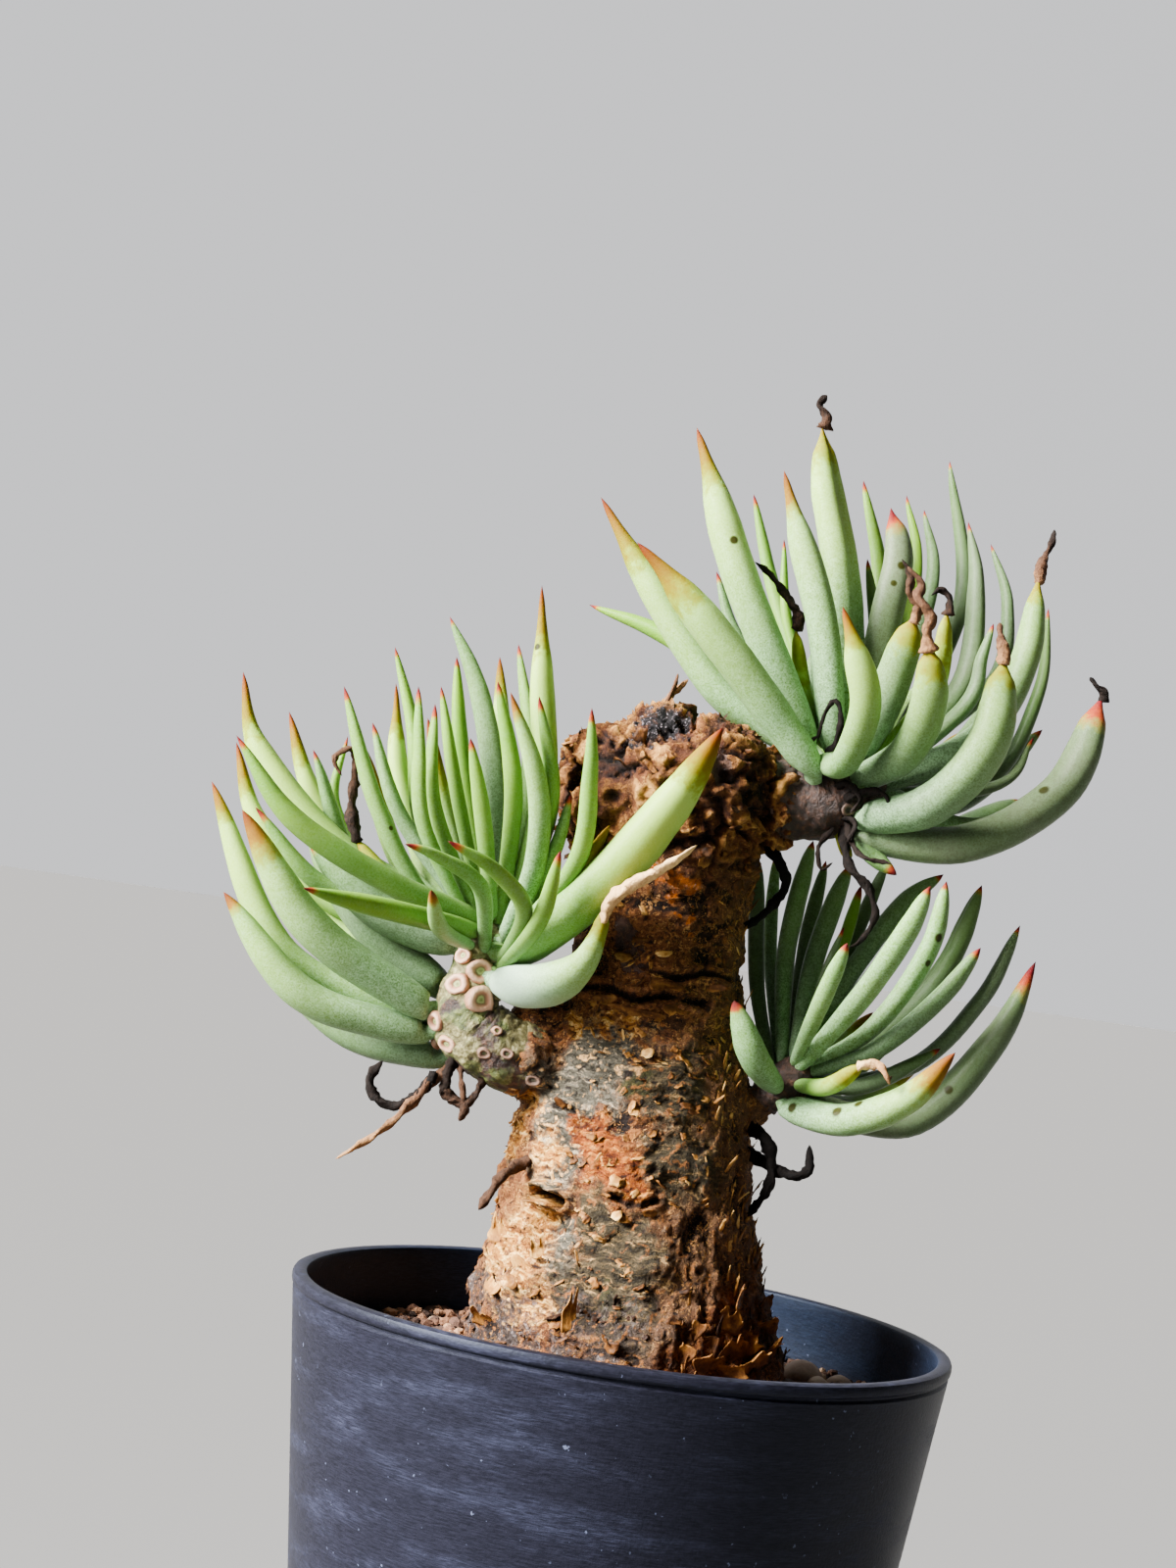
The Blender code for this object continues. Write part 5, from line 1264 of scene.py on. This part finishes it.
LOW_HEAD = {
    "name": "low",
    "stem": [((35, -65, -3.8), 3.6), ((36.8, -63.5, -4.1), 4.0), ((40, -61.6, -5), 4.6), ((43, -58.6, -4.8), 4.0),
             ((45, -56, -4), 2.0)],
    "heart": (42, -60, -4),
    "axis": (0.6, 0.2, 0.75),
    "seed": 95,
    "far_count": 6,
    "far_tilt": 30,
    "far_range": (-1.0, 0.5),
    "far_length": 40.0,
    "far_width": 5.4,
    "far_start": 2.0,
    "leaves": [
        (6.2, [(38.4, -62, -9), (34, -56, -20), (29.8, -44.2, -25)], "pale red", "slim"),
        (7.6, [(40.5, -66, -8), (53, -68.4, -19), (65.4, -64, -26), (75, -54.8, -30)], "pink"),
        (7.8, [(42, -65, -5), (66, -68.4, -6), (83, -52, -8), (91.4, -36.2, -8)], "russet"),
        (4.2, [(44, -62, -1), (66, -57.6, 5), (80.2, -43.9, 8), (88.2, -28.8, 8)], "dark", "finger"),
        (4.6, [(44, -59, -6), (58.2, -54.6, -12), (71.4, -44, -16), (80.2, -33.4, -18)], "teal", "finger"),
        (5.4, [(44, -60, -2), (60, -51, 0), (72.6, -37.8, 3), (80.4, -20.6, 4)], "dark", "grooved", "finger"),
        (4.8, [(44.4, -58, -6), (58.2, -49.6, -11), (69.4, -34, -13), (73.2, -19.8, -13)], "pale red", "finger"),
        (5.0, [(43, -58, -8), (56.4, -42.6, -20), (65, -30.2, -26), (69.9, -20.8, -28)], "pale red", "finger"),
        (4.0, [(44, -57, -2), (56, -44, 5), (66, -30, 8)], "teal", "finger"),
        (3.5, [(42, -57, -8), (47.4, -45, -24), (53.0, -32.4, -32)], "pale red", "finger"),
        (1.8, [(44, -52, -3), (48.6, -38, -2), (52.3, -29.1, 0)], "dark"),
        (4.3, [(44, -56, -1), (49.6, -44.7, 6), (63.4, -25.4, 10), (72.6, -18.4, 12)], "teal", "finger"),
        (4.4, [(42, -56, -3), (45.6, -38, 4), (50.0, -24.9, 9), (53.6, -16.4, 12)], "teal", "finger"),
        (4.3, [(39.6, -57, -3), (40.2, -37.1, 4), (42.6, -24.2, 8), (46.0, -11.5, 12)], "teal", "finger"),
        (3.3, [(41, -57, -1), (44.4, -33, 14), (48.6, -15.6, 21)], "dark", "finger"),
        (3.6, [(37.4, -58.5, -2), (34.4, -40, 9), (34.8, -15, 17)], "dark", "finger"),
        (3.0, [(38.8, -57, 0), (37.2, -34, 16), (38.4, -14, 24)], "teal", "finger"),
        (3.2, [(45, -55, 0), (53.2, -34, 14), (61.2, -15.6, 20)], "dark", "finger"),
        (2.8, [(44, -55, -2), (51.6, -34, 10), (55.8, -20.6, 15)], "young", "finger"),
        (2.6, [(44, -56, 0), (61, -34, 15), (68.4, -19.6, 20)], "dark", "finger"),
        (4.0, [(43, -61.5, -8), (49, -61.6, -19), (56, -57.4, -27)], "dying", "blunt"),
        (4.0, [(43, -60, -5), (56, -61.6, -8), (72, -54, -9)], "dark"),
    ],
    "stalks": [
        (2.8, [(55, -57.6, -27), (58, -57.2, -28.4), (59.6, -57.4, -29), (60.8, -59.4, -30), (61.6, -61.4, -30)], 0.9, 0.6),
        (0.9, [(61.4, -60.6, -30), (62, -59.6, -30)], 0.3, 0.3),
    ],
}


def profile_at(form, share):
    """A leaf form's fullness at a share of its length."""
    stations = FULLNESS[form]
    for (low, thick), (high, thin) in zip(stations, stations[1:]):
        if share <= high:
            t = (share - low) / (high - low)
            return thick + (thin - thick) * t
    return stations[-1][1]


smooth_forms = {}
for form in FULLNESS:
    steps = [profile_at(form, step / 100) for step in range(101)]
    for turn_round in range(3):
        steps[1:-1] = [(before + middle * 2 + after) / 4 for before, middle, after in zip(steps, steps[1:], steps[2:])]
    smooth_forms[form] = steps
leaf_blank = round_blank("leaf_blank", *LEAF_BLANK)


def grow_leaf(spine, width, form, look, root, facing, grooved, draw):
    """One leaf along its middle line: a narrow foot from the stem, a round full body, a pointed tip."""
    curve = [root] + smooth_path(spine, 44)
    root_length = (spine[0] - root).length
    reach = root_length + sum((end - start).length for start, end in zip(curve[1:], curve[2:]))
    body = reach - root_length
    steps = smooth_forms[form]
    drift = Vector((draw.uniform(0, 50), draw.uniform(0, 50), 0))
    last = steps[-1]

    def section(length, cosine, sine):
        past = length - root_length
        share = max(past, 0) / body
        place = min(share * 100, 99.999)
        fullness = steps[int(place)] + (steps[int(place) + 1] - steps[int(place)]) * (place % 1)
        swell = math.sqrt(1 - (1 - min(max(past / (0.62 * width), 0), 1)) ** 2)
        end = math.sqrt(max(1 - share, 0) * 12) if last > 0 and share > 0.92 else 1
        half = width / 2 * 1.04 * fullness * (0.55 + 0.45 * swell) * min(end, 1)
        half *= 1 + 0.035 * noise.noise(drift + Vector((length * 0.16, cosine * 0.6, sine * 0.6)))
        across = half * cosine
        up = half * LEAF_THICKNESS_RATIO * sine
        if sine > 0:
            up *= 0.92
            if grooved:
                up -= half * 0.22 * math.exp(-(cosine / 0.26) ** 2) * eased(share, 0.15, 0.4)
        return across, up

    item, spans, reach = threaded(leaf_blank, "leaf", curve, facing, section, LEAF_CROWDING)
    flush, redness, warmth, bloom, begun = LOOKS[look]
    flush *= draw.uniform(0.85, 1.15)
    warmth = min(warmth + draw.uniform(-0.12, 0.12), 1)
    bloom = max(bloom + draw.uniform(-0.1, 0.1), 0)
    tips = []
    bodies = []
    for span in spans:
        tips += [(reach - span + begun * flush) / 100, flush / 100, redness, 1]
        bodies += [warmth, bloom, span / reach, 1]
    item.data.attributes.new("tip", "FLOAT_COLOR", "POINT").data.foreach_set("color", tips)
    item.data.attributes.new("body", "FLOAT_COLOR", "POINT").data.foreach_set("color", bodies)
    return item


def far_leaf(index, head):
    """The points of a leaf on a head's far side, by the construction's rule."""
    draw = random.Random(head["seed"] + index)
    axis = Vector(head["axis"]).normalized()
    back = (Vector((0, 1, 0)) - axis * axis.y).normalized()
    side = axis.cross(back)
    first, last = head["far_range"]
    around = first + (last - first) * ((index * 0.618034 + 0.3) % 1)
    tilt = math.radians(26 + head["far_tilt"] * (index + 0.5) / head["far_count"])
    outward = back * math.cos(around) + side * math.sin(around)
    length = head["far_length"] * draw.uniform(0.88, 1.08)
    start = sight(*head["heart"]) + outward * head["far_start"]
    direction = axis * math.cos(tilt) + outward * math.sin(tilt)
    low_tilt = tilt + 0.38
    low = axis * math.cos(low_tilt) + outward * math.sin(low_tilt)
    return [start, start + low * (length * 0.52), start + direction * length]


leaf_skin, tree, shader, place = new_material("leaf_skin", 0.5)
tip = add_node(tree, "SeparateColor", {0: add_node(tree, "Attribute", attribute_name="tip").outputs["Color"]})
body = add_node(tree, "SeparateColor", {0: add_node(tree, "Attribute", attribute_name="body").outputs["Color"]})
speckle = cloud(tree, place, 2600, 3, 0.75)
mealy = cloud(tree, place, 620, 4, 0.6)
slow = cloud(tree, place, 70, 2)
reached = maths(tree, "DIVIDE", tip.outputs[0], tip.outputs[1])
rough_edge = maths(tree, "MULTIPLY", maths(tree, "SUBTRACT", cloud(tree, place, 420, 4, 0.65), 0.5), 0.7)
reached = maths(tree, "ADD", reached, maths(tree, "MULTIPLY", rough_edge, stretch(tree, reached, 0.1, 0.6)))
golden = ramp(tree, reached, (0.0, (0.024, 0.002, 0.002, 1)), (0.05, (0.075, 0.005, 0.0, 1)),
              (0.14, (0.12, 0.024, 0.0, 1)), (0.34, (0.145, 0.072, 0.0, 1)), (0.60, (0.150, 0.120, 0.0, 1.0)),
              (0.84, (0.165, 0.190, 0.0, 0.80)), (1.0, (0.17, 0.27, 0.005, 0.0)))
golden_cover = tree.nodes[-1].outputs["Alpha"]
scarlet = ramp(tree, reached, (0.0, (0.016, 0.002, 0.003, 1)), (0.30, (0.10, 0.005, 0.007, 1)),
               (0.58, (0.24, 0.030, 0.006, 0.95)), (0.8, (0.22, 0.14, 0.006, 0.5)), (1.0, (0.20, 0.28, 0.016, 0.0)))
scarlet_cover = tree.nodes[-1].outputs["Alpha"]
flush = mixed(tree, tip.outputs[2], golden, scarlet)
cover = add_node(tree, "Mix", {0: tip.outputs[2], 2: golden_cover, 3: scarlet_cover}, data_type="FLOAT").outputs[0]
greener = maths(tree, "ADD", body.outputs[0], stretch(tree, body.outputs[2], 0.25, 0.95, -0.15, 0.25), True)
green = mixed(tree, greener, (0.056, 0.088, 0.038, 1), (0.125, 0.250, 0.006, 1))
# Leaves whose warmth is below zero turn a grey olive: the olive leaf's own colour, and painted shade on leaves at the
# back of the heads.
dulled = stretch(tree, body.outputs[0], -1.0, 0.0, 1.0, 0.0, False)
green = mixed(tree, dulled, green, (0.100, 0.105, 0.060, 1))
green = mixed(tree, stretch(tree, slow, 0.35, 0.7), green, mixed(tree, 1.0, green, (0.72, 0.86, 0.62, 1), "MULTIPLY"))
meal = maths(tree, "MULTIPLY", stretch(tree, speckle, 0.26, 0.66), stretch(tree, mealy, 0.25, 0.65, 0.55, 1.0))
meal = maths(tree, "MULTIPLY", meal, stretch(tree, body.outputs[1], 0.0, 1.0, 0.04, 0.80, False))
foot_bloom = stretch(tree, body.outputs[2], 0.05, 0.5, 1.35, 0.8)
meal = maths(tree, "MULTIPLY", meal, foot_bloom, True)
skin_colour = mixed(tree, meal, green, (0.34, 0.58, 0.32, 1))
chalky = maths(tree, "MULTIPLY", stretch(tree, body.outputs[1], 1.1, 2.2), stretch(tree, body.outputs[2], 0.25, 0.7, 1.0, 0.0))
chalky = maths(tree, "MULTIPLY", chalky, stretch(tree, body.outputs[2], 0.08, 0.18))
skin_colour = mixed(tree, maths(tree, "MULTIPLY", chalky, 0.7), skin_colour, (0.46, 0.64, 0.48, 1))
creamy = maths(tree, "MULTIPLY", stretch(tree, body.outputs[2], 0.35, 0.85), maths(tree, "SUBTRACT", 1.0, tip.outputs[2]))
creamy = maths(tree, "MULTIPLY", creamy, body.outputs[0], True)
skin_colour = mixed(tree, maths(tree, "MULTIPLY", creamy, 0.8), skin_colour, (0.38, 0.56, 0.10, 1))
colour = mixed(tree, maths(tree, "MULTIPLY", cover, stretch(tree, meal, 0, 1, 1.0, 0.94)), skin_colour, flush)
leaf_colour, leaf_shader, leaf_place = colour, shader, place
waxy = stretch(tree, meal, 0.1, 0.8, 0.38, 0.6)
tree.links.new(maths(tree, "ADD", waxy, maths(tree, "MULTIPLY", cover, 0.3), True), shader.inputs["Roughness"])
shader.inputs["Specular IOR Level"].default_value = 0.09
shader.inputs["Subsurface Weight"].default_value = 0.12
shader.inputs["Subsurface Radius"].default_value = (1.0, 1.3, 0.5)
shader.inputs["Subsurface Scale"].default_value = 0.0015
bumped(tree, shader, maths(tree, "ADD", speckle, maths(tree, "MULTIPLY", mealy, 0.8)), 0.07)

# The young stems that carry the leaves: green and brown bark with the round scars of fallen leaves.
SCAR_BLANK = (14, 9)
SCAR_PROFILE = [(0, -0.9), (1.0, -0.9), (1.14, -0.1), (1.08, 0.3), (0.86, 0.46), (0.62, 0.40), (0.44, 0.16), (0.30, 0.12),
                (0.15, 0.20), (0, 0.22)]
SCARS = [
    ((-25.4, -35), 1.8, 0.0),
    ((-22, -38.2), 2.6, 0.0),
    ((-26.6, -40.8), 2.2, 0.0),
    ((-22, -44.0), 2.9, 0.0),
    ((-31.0, -48.4), 2.2, 0.0),
    ((-28.8, -53.0), 1.9, 0.0),
    ((-33.0, -51.6), 1.5, 0.1),
    ((-18.6, -50.4), 1.0, 0.2),
    ((-21.2, -54.9), 1.3, 0.75),
    ((-16.5, -55.1), 1.2, 0.8),
]
scar_blank = round_blank("scar_blank", *SCAR_BLANK)


def scar(spot, normal, radius, age):
    """The ring that a fallen leaf leaves: a corky lip round a sunken middle, laid on the stem."""
    across = normal.cross(Vector((0, 0, 1))).normalized()
    up = normal.cross(across)
    mesh = scar_blank.data.copy()
    shades = []
    for vert in mesh.vertices:
        ring, angle = ring_of(vert, SCAR_BLANK[1])
        out, height = SCAR_PROFILE[ring]
        uneven = 1 + 0.3 * noise.noise(spot + Vector((math.cos(angle), math.sin(angle), height)) * 1.1)
        around = across * math.cos(angle) + up * (0.86 * math.sin(angle))
        vert.co = (spot + around * (out * radius * uneven) + normal * (height * radius * 0.8)) * MM
        shades.append(ring / SCAR_BLANK[1])
    item = bpy.data.objects.new("scar", mesh)
    bpy.context.scene.collection.objects.link(item)
    set_values(mesh, "shade", shades)
    set_values(mesh, "age", [age] * len(shades))
    return item


scar_skin, tree, shader, place = new_material("leaf_scar", 0.7)
ring_tone = add_node(tree, "Attribute", attribute_name="shade").outputs["Fac"]
age = add_node(tree, "Attribute", attribute_name="age").outputs["Fac"]
grainy = cloud(tree, place, 1500, 4, 0.65)
ring_tone = maths(tree, "ADD", ring_tone, maths(tree, "MULTIPLY", maths(tree, "SUBTRACT", grainy, 0.5), 0.12))
fresh = ramp(tree, ring_tone, (0.12, (0.10, 0.075, 0.025)), (0.30, (0.34, 0.15, 0.075)), (0.44, (0.66, 0.40, 0.26)),
             (0.60, (0.42, 0.18, 0.10)), (0.72, (0.20, 0.13, 0.055)), (0.82, (0.34, 0.38, 0.13)), (1.0, (0.12, 0.13, 0.03)))
stale = ramp(tree, ring_tone, (0.12, (0.012, 0.006, 0.003)), (0.40, (0.060, 0.030, 0.018)), (0.50, (0.15, 0.085, 0.055)),
             (0.66, (0.030, 0.015, 0.010)), (1.0, (0.006, 0.003, 0.003)))
tree.links.new(mixed(tree, age, fresh, stale), shader.inputs["Base Color"])
bumped(tree, shader, grainy, 0.25)

stem_skin, tree, shader, place = new_material("stem_skin", 0.66)
age = add_node(tree, "Attribute", attribute_name="shade").outputs["Fac"]
grainy = cloud(tree, place, 800, 5, 0.65)
blotch = cloud(tree, place, 190, 4, 0.6)
mossy = cloud(tree, place, 120, 3, 0.55)
young_bark = ramp(tree, grainy, (0.30, (0.030, 0.024, 0.006)), (0.45, (0.10, 0.085, 0.022)), (0.58, (0.22, 0.20, 0.075)),
                  (0.74, (0.50, 0.44, 0.24)))
green_bark = ramp(tree, grainy, (0.30, (0.016, 0.022, 0.003)), (0.52, (0.060, 0.080, 0.010)), (0.72, (0.19, 0.20, 0.050)))
old_bark = ramp(tree, grainy, (0.30, (0.003, 0.001, 0.001)), (0.50, (0.022, 0.007, 0.003)), (0.66, (0.070, 0.025, 0.009)),
                (0.8, (0.18, 0.075, 0.028)))
young_bark = mixed(tree, stretch(tree, mossy, 0.48, 0.58), young_bark, green_bark)
mix_age = maths(tree, "ADD", age, maths(tree, "MULTIPLY", maths(tree, "SUBTRACT", blotch, 0.5), 1.8))
colour = mixed(tree, stretch(tree, mix_age, 0.40, 0.60), old_bark, young_bark)
tree.links.new(colour, shader.inputs["Base Color"])
bumped(tree, shader, maths(tree, "ADD", grainy, maths(tree, "MULTIPLY", blotch, 0.5)), 0.8)

leaf_trees = []
for head, old_age, young_age in ((LEFT_HEAD, 0.42, 0.95), (TOP_HEAD, 0.0, 0.12), (LOW_HEAD, 0.05, 0.2)):
    stem_line = smooth_path([sight(*point) for point, radius in head["stem"]], 30)
    thickness = smooth_path([Vector((radius, 0, 0)) for point, radius in head["stem"]], 60)
    stem_reach = sum((end - start).length for start, end in zip(stem_line, stem_line[1:]))

    def stem_section(length, cosine, sine):
        share = length / stem_reach
        radius = thickness[min(int(share * 59), 59)].x
        knobs = noise.noise(Vector((length * 0.35, cosine * 1.6, sine * 1.6))) * 0.6
        knobs += noise.noise(Vector((length * 0.9, cosine * 3.4, sine * 3.4))) * 0.35
        radius = (radius * 0.95 + knobs) * min(1, math.sqrt(max(1 - share, 0) * 14), math.sqrt(share * 30))
        return radius * cosine, radius * sine

    stem, spans, reach = threaded(trunk_blank, "stem_" + head["name"], stem_line, Vector((0, -1, 0.1)), stem_section)
    ages = [old_age + (young_age - old_age) * span / reach for span in spans]
    set_values(stem.data, "shade", ages)
    stem = joined("stem_" + head["name"], [stem], stem_skin)
    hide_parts("rosette_" + head["name"])
    skin = skin_tree(stem)
    inner = stem_line[5:-3]
    draw = random.Random(head["seed"])
    scars = []
    taken = []
    for (right, above), radius, scar_age in SCARS if head is LEFT_HEAD else []:
        spot, normal = seen_on(skin, right, above)
        if spot:
            scars.append(scar(spot, normal, radius, scar_age))
            taken.append(spot)
    for index in range(40):
        middle = stem_line[4 + int(20 * (index * 0.618034 % 1))]
        angle = index * GOLDEN_ANGLE
        outward = SIGHT_RIGHT * math.cos(angle) + SIGHT_AHEAD * math.sin(angle) + SIGHT_UP * draw.uniform(-0.6, 0.6)
        spot, normal, face, distance = skin.ray_cast((middle + outward * 40) * MM, -outward.normalized(), 0.06)
        radius = draw.uniform(0.9, 1.9) * thickness[20].x / 7.5
        if spot and all((spot / MM - other).length > 5.6 * thickness[20].x / 7.5 for other in taken):
            scars.append(scar(spot / MM, normal, radius, draw.uniform(0.35, 1) if head is LEFT_HEAD else 1.0))
            taken.append(spot / MM)
    joined("scars_" + head["name"], scars, scar_skin)
    leaves = []
    for width, points, look, *extras in head["leaves"]:
        spine = [sight(*point) for point in points]
        middle = min(inner, key=lambda point: (point - spine[0]).length)
        root = spine[0].lerp(middle, 0.75)
        half_way = smooth_path(spine, 24)[12]
        facing = (middle + Vector((0, 0, 60)) - half_way).normalized()
        form = "slim" if width < 4.2 else "full"
        for word in extras:
            form = word if word in FULLNESS else form
        leaves.append(grow_leaf(spine, width, form, look, root, facing, "grooved" in extras, draw))
    for index in range(head["far_count"]):
        spine = far_leaf(index, head)
        middle = min(inner, key=lambda point: (point - spine[0]).length)
        root = spine[0].lerp(middle, 0.75)
        width = head["far_width"] * (1 - 0.42 * (1 - (index + 0.5) / head["far_count"]))
        look = draw.choice(("teal", "rust", "short gold", "red", "pale"))
        leaves.append(grow_leaf(spine, width, "far", look, root, Vector(head["axis"]).normalized(), False, draw))
    whole = joined("leaves_" + head["name"], leaves, leaf_skin)
    leaf_trees.append(skin_tree(whole))
    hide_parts("rosette_" + head["name"])
    stalks = []
    for width, points, shade, tip_shade, *style in head["stalks"]:
        if "blade" in style:
            stalks.append(stalk(points, width, shade, 0.25, 0.5, 0.04, tip_shade, 1.0))
        elif "even" in style:
            stalks.append(stalk(points, width, shade, 0.8, 0.75, 0.7, tip_shade))
        else:
            stalks.append(stalk(points, width, shade, tip_shade=tip_shade))
    joined("stalks_" + head["name"], stalks, withered)

FRECKLES = [((93, -1.2), 1.1), ((29.8, 49.8), 0.9), ((50.8, -66.8), 1.15), ((55.2, -65.2), 1.0), ((41.6, -66), 1.1),
            ((73.6, -62.4), 0.9), ((-10.4, 28), 0.7), ((71.6, -31.4), 0.9), ((69.4, -36.6), 0.7), ((64, 44.6), 0.9),
            ((62.4, 41.0), 0.7), ((-40.2, -9), 0.5)]
masks = []
for spot, radius in FRECKLES:
    hits = [hit for hit, normal in (seen_on(leaf_tree, *spot) for leaf_tree in leaf_trees) if hit]
    if hits:
        nearest = min(hits, key=lambda hit: (hit - EYE).length)
        masks.append(patch(leaf_skin.node_tree, leaf_place, nearest, radius, 0.3))
freckled = mixed(leaf_skin.node_tree, either(leaf_skin.node_tree, masks), leaf_colour, (0.020, 0.022, 0.003, 1))
leaf_skin.node_tree.links.new(freckled, leaf_shader.inputs["Base Color"])

for blank in (trunk_blank, limb_blank, flake_blank, sheet_blank, twig_blank, leaf_blank, scar_blank):
    bpy.data.objects.remove(blank)

# The stage: a plain pale floor under soft studio light, which comes from the left and a little above.
bpy.ops.object.select_all(action="DESELECT")
bpy.ops.mesh.primitive_plane_add(size=60, location=(0, 0, 0))
floor = bpy.context.object
floor.name = "floor"
pale, tree, shader, place = new_material("pale_floor", 1.0)
shader.inputs["Base Color"].default_value = (0.122, 0.122, 0.122, 1)
shader.inputs["Specular IOR Level"].default_value = 0.0
floor.data.materials.append(pale)

world = bpy.data.worlds.new("studio")
bpy.context.scene.world = world
world.use_nodes = True
tree = world.node_tree
toward = add_node(tree, "SeparateXYZ", {0: add_node(tree, "TexCoord").outputs["Generated"]})
bright = maths(tree, "SUBTRACT", maths(tree, "MULTIPLY", toward.outputs["Y"], 0.70),
               maths(tree, "MULTIPLY", toward.outputs["X"], 0.36))
bright = maths(tree, "ADD", bright, maths(tree, "MULTIPLY", toward.outputs["Z"], 0.22))
tree.nodes["Background"].inputs["Color"].default_value = (0.97, 0.975, 1.0, 1)
backdrop = maths(tree, "MULTIPLY", add_node(tree, "LightPath").outputs["Is Camera Ray"], 0.97)
bright = maths(tree, "MAXIMUM", stretch(tree, bright, -0.25, 0.72, 0.012, 0.98), backdrop)
tree.links.new(bright, tree.nodes["Background"].inputs["Strength"])

bpy.ops.object.light_add(type="SUN", location=(-1.1, -0.45, 0.8))
window = bpy.context.object
window.name = "window"
window.rotation_euler = Vector((0.80, 0.30, -0.53)).to_track_quat("-Z", "Y").to_euler()
window.data.energy = 42
window.data.angle = math.radians(28)
window.data.color = (1.0, 0.97, 0.93)

softbox_place = Vector((-0.36, -0.22, 0.30))
bpy.ops.object.light_add(type="AREA", location=softbox_place)
softbox = bpy.context.object
softbox.name = "softbox"
softbox.rotation_euler = (Vector((-0.05, 0, 0.2)) - softbox_place).to_track_quat("-Z", "Y").to_euler()
softbox.data.size = 0.16
softbox.data.energy = 3.6
softbox.data.color = (1.0, 0.98, 0.95)
